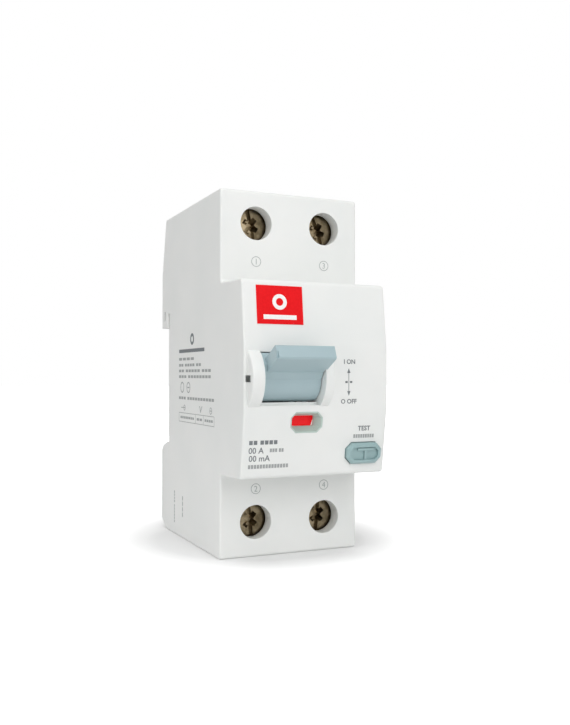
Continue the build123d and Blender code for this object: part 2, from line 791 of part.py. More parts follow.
# Contact arms, their springs and silver tips, and the strips that they close on
arm_outline = [
    (arm_front, contact_z + arm_past_contact),
    (arm_front + arm_thickness, contact_z + arm_past_contact),
    (arm_front + arm_thickness, carrier_z + arm_root[0]),
    (carrier_y, carrier_z + arm_disc_radius),
    (carrier_y + arm_tail, carrier_z + arm_tail_half),
    (carrier_y + arm_tail, carrier_z - arm_tail_half),
    (carrier_y, carrier_z - arm_disc_radius),
    (carrier_y - arm_disc_radius, carrier_z),
    (arm_front, carrier_z + arm_root[1]),
]
tips = {"left": -terminal_x, "right": terminal_x}
for side, x in tips.items():
    with BuildPart() as contact_arm:
        with BuildSketch(Plane.YZ.offset(x - arm_width / 2)) as arm_profile:
            Polygon(arm_outline, align=None)
            with Locations(carrier_center):
                Circle(arm_disc_radius)
                Circle(shaft_radius + pin_clearance, mode=Mode.SUBTRACT)
        extrude(amount=arm_width)
    save(contact_arm.part, "contact_arm_" + side)
    spring_foot = seat_front + spring_seat_thickness + contact_spring_gap
    save(wound_spring((x, spring_foot, spring_z), (0, 1, 0), contact_spring_size,
                      arm_front - contact_spring_gap - spring_foot), "contact_spring_" + side)
    with BuildPart() as line_strip:
        block((x - strip_width / 2, x + strip_width / 2), (strip_front, strip_back),
              (contact_z - strip_past_contact, top_end - end_wall - strip_end_gap))
    save(line_strip.part, "line_strip_" + side)
    with BuildPart() as load_strip:
        block((x - strip_width / 2, x + strip_width / 2), (strip_front, strip_back),
              (bottom_end + end_wall + strip_end_gap, winding_low - strip_core_gap))
    save(load_strip.part, "load_strip_" + side)
with BuildPart() as fixed_tips:
    for x in tips.values():
        rod_y(x, contact_z, contact_tip_radius, (fixed_tip_front, strip_front))
save(fixed_tips.part, "fixed_contact_tips")
with BuildPart() as moving_tips:
    for x in tips.values():
        rod_y(x, contact_z, contact_tip_radius, (moving_tip_front, moving_tip_front + contact_tip))
save(moving_tips.part, "moving_contact_tips")

with BuildPart() as pole_divider:
    block((-divider_half, divider_half), (seam + divider_gap, -rail_wall),
          (carrier_z + arm_disc_radius + divider_clear, cavity_top))
save(pole_divider.part, "pole_divider")

# Conductors through the transformer, and the braids that feed the arms
conductor_y = core_center[1] + conductor_behind_core
joint_z = core_center[2] + conductor_joint_rise
conductor_z = winding_low - conductor_core_gap - conductor_radius
for side, sign in (("left", -1), ("right", 1)):
    for name, points, radius, bends in (
        ("primary_conductor_" + side,
         [(sign * conductor_x, conductor_y, joint_z), (sign * conductor_x, conductor_y, conductor_z),
          (sign * terminal_x, conductor_y - conductor_step, conductor_z),
          (sign * terminal_x, strip_back, conductor_z)],
         conductor_radius, conductor_bend),
        ("contact_braid_" + side,
         [(sign * conductor_x, conductor_y, joint_z), (sign * conductor_x, conductor_y, carrier_z),
          (sign * (terminal_x - arm_width / 2 - braid_gap), conductor_y, carrier_z)],
         braid_radius, braid_bend),
    ):
        with BuildPart() as wire:
            with BuildLine() as route:
                FilletPolyline(*points, radius=bends)
            with BuildSketch(Plane(origin=route.line @ 0, z_dir=route.line % 0)):
                Circle(radius)
            sweep()
        save(wire.part, name)

# Differential transformer: a ring core in a plastic case, with its winding
case_inner = core_inner_radius - case_wall
case_outer = core_outer_radius + case_wall
core_low = core_center[2] - core_height / 2
core_high = core_center[2] + core_height / 2
ring_plane = Plane.XY.offset(core_low)


def ring(inner, outer, low, high, mode=Mode.ADD):
    """A flat ring about the transformer's axis."""
    rod_z(core_center[0], core_center[1], outer, (low, high), mode=mode)
    if mode == Mode.ADD:
        rod_z(core_center[0], core_center[1], inner, (low, high), mode=Mode.SUBTRACT)


with BuildPart() as transformer_core:
    ring(core_inner_radius, core_outer_radius, core_low, core_high)
save(transformer_core.part, "transformer_core")
with BuildPart() as core_case:
    ring(case_inner, case_outer, core_low - case_wall, core_high)
    with BuildSketch(ring_plane) as core_room:
        with Locations(core_center[:2]):
            Circle(core_outer_radius)
            Circle(core_inner_radius, mode=Mode.SUBTRACT)
    extrude(amount=core_height, mode=Mode.SUBTRACT)
save(core_case.part, "core_case")
with BuildPart() as core_lid:
    ring(case_inner, case_outer, core_high, core_high + case_wall)
save(core_lid.part, "core_lid")
case_low = core_low - case_wall
case_high = core_high + case_wall
with BuildPart() as secondary_winding:
    ring(case_inner - winding_skin, case_outer + winding_skin, case_low - winding_skin,
         case_high + winding_skin)
    with Locations(core_center):
        with PolarLocations((case_inner + case_outer) / 2, winding_turns):
            Box(case_outer - case_inner + 2 * winding_thickness, winding_rib,
                case_high - case_low + 2 * winding_thickness)
    with BuildSketch(Plane.XY.offset(case_low)) as case_room:
        with Locations(core_center[:2]):
            Circle(case_outer)
            Circle(case_inner, mode=Mode.SUBTRACT)
    extrude(amount=case_high - case_low, mode=Mode.SUBTRACT)
save(secondary_winding.part, "secondary_winding")

# Trip relay, its plunger and the trip lever
relay_middle = (relay_z[0] + relay_z[1]) / 2
lever_x = (plunger_x - lever_half, plunger_x + lever_half)
ears_out = relay_ear_gap + relay_ear
with BuildPart() as trip_relay:
    block(relay_x, relay_y, relay_z)
    chamfer(trip_relay.edges().filter_by(Axis.Z), relay_corner)
    for left in (lever_x[0] - ears_out, lever_x[1] + relay_ear_gap):
        with BuildSketch(Plane.YZ.offset(left)) as relay_ear_outline:
            Polygon([(relay_y[1] - relay_ear_root[0], relay_z[1]),
                     (trip_pivot[0] - relay_ear_half, trip_pivot[1]),
                     (trip_pivot[0] + relay_ear_half, trip_pivot[1]),
                     (relay_y[1] - relay_ear_root[1], relay_z[1])], align=None)
            with Locations(trip_pivot):
                Circle(relay_ear_half)
        extrude(amount=relay_ear)
    rod_x(trip_pivot[0], trip_pivot[1], trip_pin_radius,
          (lever_x[0] - ears_out - 1, lever_x[1] + ears_out + 1), mode=Mode.SUBTRACT)
    rod_z(plunger_x, plunger_y, plunger_radius + plunger_bore_gap, (relay_middle, relay_z[1] + 1),
          mode=Mode.SUBTRACT)
save(trip_relay.part, "trip_relay")
lever_under = trip_pivot[1] - lever_drop
with BuildPart() as relay_plunger:
    rod_z(plunger_x, plunger_y, plunger_radius,
          (relay_middle + plunger_foot_gap, lever_under - plunger_tip_gap))
save(relay_plunger.part, "relay_plunger")
with BuildPart() as trip_pin:
    rod_x(trip_pivot[0], trip_pivot[1], trip_pin_radius, (lever_x[0] - ears_out, lever_x[1] + ears_out))
save(trip_pin.part, "trip_pin")
with BuildPart() as trip_lever:
    block(lever_x, (plunger_y - lever_past_plunger, trip_pivot[0]),
          (lever_under, lever_under + lever_thickness))
    block(lever_x, (trip_pivot[0] - lever_arm[0], trip_pivot[0] + lever_arm[1]),
          (trip_pivot[1] + lever_arm_z[0], trip_pivot[1] + lever_arm_z[1]))
    rod_x(trip_pivot[0], trip_pivot[1], lever_hub, lever_x)
    rod_x(trip_pivot[0], trip_pivot[1], trip_pin_radius + pin_clearance, lever_x, mode=Mode.SUBTRACT)
save(trip_lever.part, "trip_lever")
with BuildPart() as secondary_leads:
    for inset in lead_inset:
        lead_x = relay_x[1] - inset
        lead_y = relay_y[1] + lead_run
        lead_z = relay_z[0] + lead_rise
        with BuildLine() as lead_route:
            FilletPolyline((lead_x, relay_y[1], lead_z), (lead_x, lead_y, lead_z),
                           (lead_x, lead_y, case_high + winding_thickness), radius=lead_bend)
        with BuildSketch(Plane(origin=lead_route.line @ 0, z_dir=lead_route.line % 0)):
            Circle(lead_radius)
        sweep()
save(secondary_leads.part, "secondary_leads")

# Test button with its spring, contact, bracket and resistor
flange_left = button_size[0] / 2 + button_flange[0]
flange_right = half_width - side_wall - button_center[0] - flange_gap
stem_depth = button_depth + stem_run
contact_depth = stem_depth + button_travel + contact_gap
with BuildPart() as test_button:
    with BuildSketch(button_plane.offset(-button_depth)) as button_outline:
        Polygon(octagon(button_size), align=None)
    extrude(amount=button_depth + button_rise)
    chamfer(test_button.faces().sort_by(Axis.Y)[0].edges(), button_chamfer)
    with BuildSketch(button_plane.offset(button_rise)) as dish_outline:
        Polygon(octagon(grown(button_size, -button_rim)), align=None)
    extrude(amount=-button_dish, mode=Mode.SUBTRACT)
    with BuildSketch(button_plane.offset(button_rise - button_dish)) as button_letter:
        with Locations((letter_place[0], letter_place[1])):
            Rectangle(*letter_bar)
        with Locations((letter_place[0], letter_place[2])):
            Rectangle(*letter_stem)
    extrude(amount=letter_height)
    with BuildSketch(button_plane.offset(-nose_wall - flange_gap)) as flange:
        with Locations(((flange_right - flange_left) / 2, 0)):
            Rectangle(flange_left + flange_right, button_size[1] + 2 * button_flange[1])
    extrude(amount=-flange_thickness)
    with BuildSketch(button_plane.offset(-stem_depth)) as stem:
        Circle(stem_radius)
    extrude(amount=stem_depth - button_depth + stem_lap)
save(test_button.part, "test_button")
spring_base = button_plane.offset(-contact_depth + test_spring_gap).origin
spring_axis = button_plane.z_dir
save(wound_spring(tuple(spring_base), tuple(spring_axis), test_spring_size,
                  contact_depth - button_depth - 2 * test_spring_gap), "test_button_spring")
with BuildPart() as test_contact:
    with BuildSketch(button_plane.offset(-contact_depth)):
        Rectangle(*test_contact_size[:2])
    extrude(amount=-test_contact_size[2])
save(test_contact.part, "test_contact")
with BuildPart() as test_bracket:
    bracket_left = flange_left + clip_gap + bracket_size[0]
    bracket_front = contact_depth + test_contact_size[2]
    with BuildSketch(button_plane.offset(-bracket_front)) as bracket_plate:
        with Locations(((flange_right - bracket_left) / 2, 0)):
            Rectangle(flange_right + bracket_left, bracket_size[1])
    extrude(amount=-bracket_size[2])
    with BuildSketch(button_plane.offset(-nose_wall)) as bracket_leg:
        with Locations((bracket_size[0] / 2 - bracket_left, 0)):
            Rectangle(bracket_size[0], bracket_size[1])
    extrude(amount=nose_wall - bracket_front - bracket_size[2] / 2)
save(test_bracket.part, "test_bracket")
resistor_y = shoulder - resistor_front
with BuildPart() as test_resistor:
    rod_x(resistor_y, resistor_z, resistor_radii[0], resistor_x)
    fillet(test_resistor.edges(), resistor_round)
    rod_x(resistor_y, resistor_z, resistor_radii[1], resistor_lead_x)
save(test_resistor.part, "test_resistor")

# Indicator: the tapered frame in the nose and the flag that swings behind it
with BuildPart() as indicator_bezel:
    with BuildSketch(window_plane.offset(-bezel_depth)) as bezel_outline:
        Polygon(octagon(bezel_size), align=None)
    extrude(amount=bezel_depth - bezel_recess)
    with BuildSketch(window_plane) as bezel_mouth:
        Polygon(octagon(grown(bezel_size, -bezel_rim)), align=None)
    throat_size = bezel_inner + (bezel_throat_cut,)
    with BuildSketch(window_plane.offset(bezel_throat - bezel_depth)) as bezel_waist:
        Polygon(octagon(throat_size), align=None)
    loft(mode=Mode.SUBTRACT)
    with BuildSketch(window_plane.offset(-bezel_depth - 1)):
        Polygon(octagon(throat_size), align=None)
    extrude(amount=2, mode=Mode.SUBTRACT)
save(indicator_bezel.part, "indicator_bezel")


def swung(radius, angle):
    """The (x, z) point at a radius and an angle from straight up, about the flag's pin."""
    return (flag_window[0] + radius * sin(radians(angle)), flag_pin_z + radius * cos(radians(angle)))


with BuildPart() as indicator_flag:
    with BuildSketch(Plane.XZ.offset(-flag_y[1])) as flag_outline:
        with BuildLine():
            turns = (flag_angles[0], flag_middle, flag_angles[1])
            inner_arc = ThreePointArc(*[swung(flag_radii[0], angle) for angle in turns])
            outer_arc = ThreePointArc(*[swung(flag_radii[1], angle) for angle in turns])
            Line(outer_arc @ 0, inner_arc @ 0)
            Line(outer_arc @ 1, inner_arc @ 1)
        make_face()
        with Locations((flag_window[0], flag_pin_z + flag_radii[0] / 2)):
            Rectangle(flag_arm[0], flag_radii[0] + flag_arm[1])
        with Locations((flag_window[0], flag_pin_z)):
            Circle(flag_hub)
            Circle(flag_pin_radius + pin_clearance, mode=Mode.SUBTRACT)
    extrude(amount=flag_y[1] - flag_y[0])
save(indicator_flag.part, "indicator_flag")

# Terminals: a screw that stays put and a cage that it draws forward onto the wire
terminals = {
    "1": (-terminal_x, terminal_top),
    "2": (-terminal_x, terminal_bottom),
    "3": (terminal_x, terminal_top),
    "4": (terminal_x, terminal_bottom),
}
for number, (x, z) in terminals.items():
    with BuildPart() as terminal_screw:
        rod_y(x, z, screw_head_radius, (screw_head_front, screw_head_back))
        chamfer(terminal_screw.faces().sort_by(Axis.Y)[0].edges(), head_chamfer)
        rod_y(x, z, screw_radius, (screw_head_back, strip_front - tip_gap))
        block((x - screw_head_radius, x + screw_head_radius),
              (screw_head_front - 1, screw_head_front + screw_slot[1]),
              (z - screw_slot[0] / 2, z + screw_slot[0] / 2), mode=Mode.SUBTRACT)
        block((x - screw_cross[0] / 2, x + screw_cross[0] / 2),
              (screw_head_front - 1, screw_head_front + screw_slot[1] + cross_step),
              (z - screw_cross[1] / 2, z + screw_cross[1] / 2), mode=Mode.SUBTRACT)
    save(terminal_screw.part, "terminal_screw_" + number)
    with BuildPart() as terminal_cage:
        block((x - cage_width / 2, x + cage_width / 2), (cage_front, cage_back),
              (z - cage_depth / 2, z + cage_depth / 2))
        block((x - cage_width / 2 + cage_wall, x + cage_width / 2 - cage_wall),
              (cage_front + cage_front_wall, cage_back - cage_rear_wall),
              (z - cage_depth, z + cage_depth), mode=Mode.SUBTRACT)
        rod_y(x, z, screw_radius + thread_clearance, (cage_front - 1, cage_front + cage_front_wall + 1),
              mode=Mode.SUBTRACT)
    save(terminal_cage.part, "terminal_cage_" + number)

# Rail clip and its spring
slope = back_slope_bottom[1] / back_slope_bottom[0]
clip_top = notch_bottom - clip_gap
tongue_front = rail_thickness + tongue_gap
with BuildPart() as din_clip:
    with BuildSketch(Plane.YZ.offset(-clip_half_width)) as clip_profile:
        Polygon([(clip_floor + clip_gap, clip_bottom), (back - back_slope_bottom[0], clip_bottom),
                 (clip_back, bottom_end + back_slope_bottom[1]), (clip_back, clip_top - clip_foot),
                 (tongue_front + tongue_root, clip_top), (tongue_front + tongue_tip, catch_top),
                 (tongue_front, catch_top), (tongue_front, clip_top), (clip_floor + clip_gap, clip_top)],
                align=None)
    extrude(amount=2 * clip_half_width)
    block((-clip_flange_half_width, clip_flange_half_width),
          (clip_floor + clip_gap, clip_floor + clip_gap + clip_flange_thickness), (clip_bottom, clip_top))
    block((-clip_window_half, clip_window_half), (clip_floor, back + 1), clip_window_z, mode=Mode.SUBTRACT)
    block((-clip_slot_half, clip_slot_half), (clip_floor, back + 1),
          (clip_bottom + clip_slot_z[0], clip_bottom + clip_slot_z[1]), mode=Mode.SUBTRACT)
save(din_clip.part, "din_clip")
clip_spring_y = (clip_floor + clip_back) / 2
lug_top = lug_bottom + clip_lug_thickness
save(wound_spring((0, clip_spring_y, lug_top + clip_spring_gap), (0, 0, 1), clip_spring_size,
                  clip_window_z[1] - lug_top - 2 * clip_spring_gap), "clip_spring")
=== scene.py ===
"""Looks of a two-pole residual current device: finishes, printing, terminal screws, lights and camera.

Sizes and places in the classes are millimetres in the device's own frame: +Z runs up the face, -Y is the
front and +X is to the right when the device is seen from the front. Blender's own unit is the metre, and
MM turns one into the other.
"""

import logging
import math
from collections.abc import Iterable
from dataclasses import dataclass, field
from enum import Enum

import bmesh
import bpy
from mathutils import Matrix, Vector
from mathutils.bvhtree import BVHTree


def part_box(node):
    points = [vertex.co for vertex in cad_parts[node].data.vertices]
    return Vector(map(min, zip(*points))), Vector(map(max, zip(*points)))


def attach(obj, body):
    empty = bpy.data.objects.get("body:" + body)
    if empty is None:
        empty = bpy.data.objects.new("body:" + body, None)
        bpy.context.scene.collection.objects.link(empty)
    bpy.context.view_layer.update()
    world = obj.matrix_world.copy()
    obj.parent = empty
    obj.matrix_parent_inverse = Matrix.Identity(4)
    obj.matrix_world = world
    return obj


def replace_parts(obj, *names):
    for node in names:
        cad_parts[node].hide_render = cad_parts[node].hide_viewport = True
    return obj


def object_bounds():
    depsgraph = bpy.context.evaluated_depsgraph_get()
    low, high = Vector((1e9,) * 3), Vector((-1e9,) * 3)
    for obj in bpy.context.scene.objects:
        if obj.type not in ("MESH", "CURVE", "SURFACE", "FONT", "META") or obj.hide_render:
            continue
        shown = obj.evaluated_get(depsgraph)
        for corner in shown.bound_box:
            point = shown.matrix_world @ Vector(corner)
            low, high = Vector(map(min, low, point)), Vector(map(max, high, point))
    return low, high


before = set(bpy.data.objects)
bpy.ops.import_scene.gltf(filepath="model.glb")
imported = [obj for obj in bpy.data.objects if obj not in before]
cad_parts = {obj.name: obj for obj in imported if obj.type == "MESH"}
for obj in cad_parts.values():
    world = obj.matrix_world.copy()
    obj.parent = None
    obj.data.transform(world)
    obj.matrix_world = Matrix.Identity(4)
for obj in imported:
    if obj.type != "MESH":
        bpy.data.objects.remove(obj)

cad_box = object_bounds()
MM = 0.001
# A noise texture's values lie mostly between these two
NOISE_SPAN = (0.35, 0.65)
log = logging.getLogger("residual_current_device")


# Finishes


def linear(code: str) -> tuple[float, float, float, float]:
    """Turns an sRGB hex colour into the linear colour that the shaders use.

    Args:
        code: The colour as six hex digits, such as "E9EAE8".

    Returns:
        Linear red, green and blue, with an alpha of one.
    """
    channels = [int(code[i:i + 2], 16) / 255 for i in (0, 2, 4)]
    bent = [c / 12.92 if c <= 0.04045 else ((c + 0.055) / 1.055) ** 2.4 for c in channels]
    return (bent[0], bent[1], bent[2], 1.0)


def per(size: float) -> float:
    """Works out the scale of a texture whose features have a size in millimetres.

    Args:
        size: The size of one feature.

    Returns:
        Features in a metre.
    """
    return 1 / (size * MM)


def add(tree: bpy.types.NodeTree, kind: str, inputs: dict | None = None,
        **settings: object) -> bpy.types.Node:
    """Adds a node with its settings, and sets or links its inputs.

    Args:
        tree: The node tree that the node joins.
        kind: Blender's name for the node's type.
        inputs: A value, or another node's output, for each named or numbered input.
        settings: Properties of the node.

    Returns:
        The new node.
    """
    node = tree.nodes.new(kind)
    for name, value in settings.items():
        setattr(node, name, value)
    for name, value in (inputs or {}).items():
        if isinstance(value, bpy.types.NodeSocket):
            tree.links.new(value, node.inputs[name])
        else:
            node.inputs[name].default_value = value
    return node


def object_place(tree: bpy.types.NodeTree) -> bpy.types.NodeSocket:
    """Gives a point's place on the resting device, so that a pattern stays put as pieces move."""
    return add(tree, "ShaderNodeTexCoord").outputs["Object"]


def mottled(tree: bpy.types.NodeTree, size: float, low: str, high: str,
            detail: float = 3.0) -> bpy.types.NodeSocket:
    """A colour that drifts between two tones.

    Args:
        tree: The node tree.
        size: The size of a patch in millimetres.
        low: One tone, as sRGB hex.
        high: The other tone.
        detail: How many finer layers the drift has.

    Returns:
        The colour's output.
    """
    noise = add(tree, "ShaderNodeTexNoise", {
        "Vector": object_place(tree), "Scale": per(size), "Detail": detail})
    ramp = add(tree, "ShaderNodeMapRange", {
        "Value": noise.outputs["Fac"], "From Min": NOISE_SPAN[0], "From Max": NOISE_SPAN[1]})
    mix = add(tree, "ShaderNodeMixRGB", {
        "Fac": ramp.outputs[0], "Color1": linear(low), "Color2": linear(high)})
    return mix.outputs[0]


@dataclass(frozen=True)
class Finish:
    """A material of the device or the studio.

    Attributes:
        name: The material's name.
    """

    name: str

    def shader(self, tree: bpy.types.NodeTree) -> bpy.types.Node:
        """Adds the finish's nodes to the material's tree, and gives the surface's node."""
        raise NotImplementedError

    def build(self) -> bpy.types.Material:
        """Makes the material.

        Returns:
            The finished material.
        """
        material = bpy.data.materials.new(self.name)
        material.use_nodes = True
        tree = material.node_tree
        tree.nodes.clear()
        add(tree, "ShaderNodeOutputMaterial", {"Surface": self.shader(tree).outputs[0]})
        return material


@dataclass(frozen=True)
class MouldedPlastic(Finish):
    """A thermoplastic injected into a steel tool whose walls are spark-eroded or polished.

    Attributes:
        colour: The main tone, as sRGB hex.
        flow: The tone of the faint marks that the melt leaves as it flows.
        roughness: How dull the skin is.
        grain: The size of the tool's texture in millimetres, coarser than the real one so that it shows.
        relief: The depth of the tool's texture in millimetres.
        ior: The plastic's index of refraction.
        glow: How much light sinks into the skin.
        wave: The size of the skin's slow waves in millimetres.
        sink: The depth of the waves in millimetres.
        drift: The size of a flow mark in millimetres.
        bleed: How far red, green and blue light travel inside, in millimetres.
        uneven: The least and the greatest roughness, as shares of the usual one.
    """

    colour: str
    flow: str
    roughness: float
    grain: float = 0.35
    relief: float = 0.006
    ior: float = 1.53
    glow: float = 0.0
    wave: float = 11.0
    sink: float = 0.03
    drift: float = 16.0
    bleed: tuple[float, float, float] = (0.8, 0.7, 0.6)
    uneven: tuple[float, float] = (0.9, 1.1)

    def shader(self, tree: bpy.types.NodeTree) -> bpy.types.Node:
        """Adds the finish's nodes.

        Args:
            tree: The material's node tree.

        Returns:
            The surface's node.
        """
        place = object_place(tree)
        grain = add(tree, "ShaderNodeTexNoise", {"Vector": place, "Scale": per(self.grain), "Detail": 2.0})
        waves = add(tree, "ShaderNodeTexNoise", {"Vector": place, "Scale": per(self.wave), "Detail": 1.0})
        dull = add(tree, "ShaderNodeMapRange", {
            "Value": waves.outputs["Fac"], "To Min": self.roughness * self.uneven[0],
            "To Max": self.roughness * self.uneven[1]})
        texture = add(tree, "ShaderNodeBump", {
            "Height": grain.outputs["Fac"], "Strength": 1.0, "Distance": self.relief * MM})
        skin = add(tree, "ShaderNodeBump", {
            "Height": waves.outputs["Fac"], "Strength": 1.0, "Distance": self.sink * MM,
            "Normal": texture.outputs[0]})
        return add(tree, "ShaderNodeBsdfPrincipled", {
            "Base Color": mottled(tree, self.drift, self.colour, self.flow), "Roughness": dull.outputs[0],
            "IOR": self.ior, "Normal": skin.outputs[0], "Subsurface Weight": self.glow,
            "Subsurface Radius": self.bleed, "Subsurface Scale": MM})


@dataclass(frozen=True)
class WorkedMetal(Finish):
    """A metal that was drawn, rolled, turned or plated, with the faint lines and stains this leaves.

    Attributes:
        colour: The clean metal, as sRGB hex.
        stain: The tone where it has tarnished or where the plating is thin.
        roughness: How dull the metal is.
        line: The spacing of the tool's lines in millimetres, coarser than the real one so that it shows.
        stretch: How the lines are squeezed along each axis: small along the way they run.
        patch: The size of a stain in millimetres.
        score: The depth of the tool's lines in millimetres.
        uneven: The least and the greatest roughness, as shares of the usual one.
    """

    colour: str
    stain: str
    roughness: float
    line: float = 0.25
    stretch: tuple[float, float, float] = (1.0, 1.0, 1.0)
    patch: float = 2.5
    score: float = 0.004
    uneven: tuple[float, float] = (0.7, 1.4)

    def shader(self, tree: bpy.types.NodeTree) -> bpy.types.Node:
        """Adds the finish's nodes.

        Args:
            tree: The material's node tree.

        Returns:
            The surface's node.
        """
        mapped = add(tree, "ShaderNodeMapping", {"Vector": object_place(tree), "Scale": self.stretch})
        lines = add(tree, "ShaderNodeTexNoise", {
            "Vector": mapped.outputs[0], "Scale": per(self.line), "Detail": 3.0})
        dull = add(tree, "ShaderNodeMapRange", {
            "Value": lines.outputs["Fac"], "To Min": self.roughness * self.uneven[0],
            "To Max": self.roughness * self.uneven[1]})
        scratch = add(tree, "ShaderNodeBump", {
            "Height": lines.outputs["Fac"], "Strength": 1.0, "Distance": self.score * MM})
        return add(tree, "ShaderNodeBsdfPrincipled", {
            "Base Color": mottled(tree, self.patch, self.colour, self.stain, 5.0), "Metallic": 1.0,
            "Roughness": dull.outputs[0], "Normal": scratch.outputs[0]})


@dataclass(frozen=True)
class PrintedFilm(Finish):
    """Polyester film printed in one colour from behind, with a matt face that hardly mirrors.

    Attributes:
        colour: The print, as sRGB hex.
        speckle: The tone of the print's fine screen.
        shine: How strongly the film's face mirrors, where 0.5 is plain gloss.
        roughness: How dull the film's face is.
        peel: The size of the face's ripples in millimetres.
        ripple: The depth of the ripples in millimetres.
        screen: The size of a fleck of the print in millimetres.
    """

    colour: str
    speckle: str
    shine: float = 0.05
    roughness: float = 0.42
    peel: float = 1.6
    ripple: float = 0.01
    screen: float = 0.5

    def shader(self, tree: bpy.types.NodeTree) -> bpy.types.Node:
        """Adds the finish's nodes.

        Args:
            tree: The material's node tree.

        Returns:
            The surface's node.
        """
        waves = add(tree, "ShaderNodeTexNoise", {
            "Vector": object_place(tree), "Scale": per(self.peel), "Detail": 1.0})
        skin = add(tree, "ShaderNodeBump", {
            "Height": waves.outputs["Fac"], "Strength": 1.0, "Distance": self.ripple * MM})
        return add(tree, "ShaderNodeBsdfPrincipled", {
            "Base Color": mottled(tree, self.screen, self.colour, self.speckle, 2.0),
            "Roughness": self.roughness, "IOR": 1.57, "Specular IOR Level": self.shine,
            "Normal": skin.outputs[0]})


@dataclass(frozen=True)
class PadInk(Finish):
    """Pad-printing ink: a thin matt coat that is a little uneven, because the pad lifts some of it.

    Attributes:
        colour: The full tone, as sRGB hex.
        thin: The tone where the coat is thin.
        patch: The size of a thin spot in millimetres.
    """

    colour: str
    thin: str
    patch: float = 0.3

    def shader(self, tree: bpy.types.NodeTree) -> bpy.types.Node:
        """Adds the finish's nodes.

        Args:
            tree: The material's node tree.

        Returns:
            The surface's node.
        """
        return add(tree, "ShaderNodeBsdfPrincipled", {
            "Base Color": mottled(tree, self.patch, self.colour, self.thin, 2.0), "Roughness": 0.6,
            "IOR": 1.48})


@dataclass(frozen=True)
class PaintedFlag(Finish):
    """A plastic flag with its open half painted in another colour.

    Attributes:
        closed: The tone that shows while the contacts are closed, as sRGB hex.
        open: The tone that shows while they are open.
        pin: The flag's pin as (x, z) in millimetres.
        split: The angle from straight up at which the tones meet, in degrees.
        fluoresce: Painted glow: how much light the paint gives off of its own, as emission, beyond what the
            lamps light on it.
        brush: The size of the paint's uneven patches in millimetres.
    """

    closed: str
    open: str
    pin: tuple[float, float]
    split: float
    # Painted glow: the flag gives off light of its own colour, which makes it brighter than the lamps light
    # it
    fluoresce: float = 0.55
    brush: float = 0.6

    def shader(self, tree: bpy.types.NodeTree) -> bpy.types.Node:
        """Adds the finish's nodes.

        Args:
            tree: The material's node tree.

        Returns:
            The surface's node.
        """
        turned = add(tree, "ShaderNodeMapping", {
            "Vector": object_place(tree), "Location": (-self.pin[0] * MM, 0.0, -self.pin[1] * MM)})
        axes = add(tree, "ShaderNodeSeparateXYZ", {"Vector": turned.outputs[0]})
        angle = add(tree, "ShaderNodeMath", {0: axes.outputs["X"], 1: axes.outputs["Z"]},
                    operation="ARCTAN2")
        side = add(tree, "ShaderNodeMath", {0: angle.outputs[0], 1: math.radians(self.split)},
                   operation="GREATER_THAN")
        brushed = mottled(tree, self.brush, "FFFFFF", "E6E6E6")
        tone = add(tree, "ShaderNodeMixRGB", {
            "Fac": side.outputs[0], "Color1": linear(self.closed), "Color2": linear(self.open)})
        colour = add(tree, "ShaderNodeMixRGB", {"Fac": 1.0, "Color1": tone.outputs[0], "Color2": brushed},
                     blend_type="MULTIPLY")
        # The emission is painted glow, which shows as a brighter flag
        return add(tree, "ShaderNodeBsdfPrincipled", {
            "Base Color": colour.outputs[0], "Roughness": 0.45, "IOR": 1.5, "Specular IOR Level": 0.25,
            "Emission Color": colour.outputs[0], "Emission Strength": self.fluoresce})


@dataclass(frozen=True)
class BandedResistor(Finish):
    """A carbon-film resistor: a lacquered ceramic rod with coloured rings.

    Attributes:
        lacquer: The body's tone, as sRGB hex.
        rings: The rings' tones, from left to right.
        first: Where the first ring starts along X, in millimetres.
        pitch: From one ring to the next, in millimetres.
        width: A ring's width in millimetres.
    """

    lacquer: str
    rings: tuple[str, ...]
    first: float
    pitch: float
    width: float

    def shader(self, tree: bpy.types.NodeTree) -> bpy.types.Node:
        """Adds the finish's nodes.

        Args:
            tree: The material's node tree.

        Returns:
            The surface's node.
        """
        axes = add(tree, "ShaderNodeSeparateXYZ", {"Vector": object_place(tree)})
        colour = linear(self.lacquer)
        for number, tone in enumerate(self.rings):
            middle = (self.first + number * self.pitch + self.width / 2) * MM
            inside = add(tree, "ShaderNodeMath", {0: axes.outputs["X"], 1: middle, 2: self.width / 2 * MM},
                         operation="COMPARE")
            colour = add(tree, "ShaderNodeMixRGB", {
                "Fac": inside.outputs[0], "Color1": colour, "Color2": linear(tone)}).outputs[0]
        return add(tree, "ShaderNodeBsdfPrincipled", {"Base Color": colour, "Roughness": 0.3, "IOR": 1.5})


@dataclass(frozen=True)
class PaperSweep(Finish):
    """Matt white studio paper with a painted glow that only the camera sees: the glow is missing near the
    device, which paints a shadow round it, and grows to plain white away from it.

    Attributes:
        colour: The paper's tone, as sRGB hex.
        lift: The painted glow near the device and far from it; with none near it, the paper there shows a
            painted shadow.
        spread: How far from the middle the painted glow starts to grow and where it is full, in millimetres.
        middle: The middle of the device's shadow, in millimetres.
    """

    colour: str
    lift: tuple[float, float]
    spread: tuple[float, float]
    middle: tuple[float, float, float]

    def shader(self, tree: bpy.types.NodeTree) -> bpy.types.Node:
        """Adds the finish's nodes.

        Args:
            tree: The material's node tree.

        Returns:
            The surface's node.
        """
        # Painted shadow: the glow that the camera sees is missing near the device and grows to full white
        # away from it
        centred = add(tree, "ShaderNodeVectorMath", {0: object_place(tree), 1: Vector(self.middle) * MM},
                      operation="DISTANCE")
        lift = add(tree, "ShaderNodeMapRange", {
            "Value": centred.outputs["Value"], "From Min": self.spread[0] * MM,
            "From Max": self.spread[1] * MM, "To Min": self.lift[0], "To Max": self.lift[1]})
        direct = add(tree, "ShaderNodeLightPath")
        glow = add(tree, "ShaderNodeMath", {0: lift.outputs[0], 1: direct.outputs["Is Camera Ray"]},
                   operation="MULTIPLY")
        return add(tree, "ShaderNodeBsdfPrincipled", {
            "Base Color": linear(self.colour), "Roughness": 0.9, "Specular IOR Level": 0.0,
            "Emission Color": linear("FFFFFF"), "Emission Strength": glow.outputs[0]})


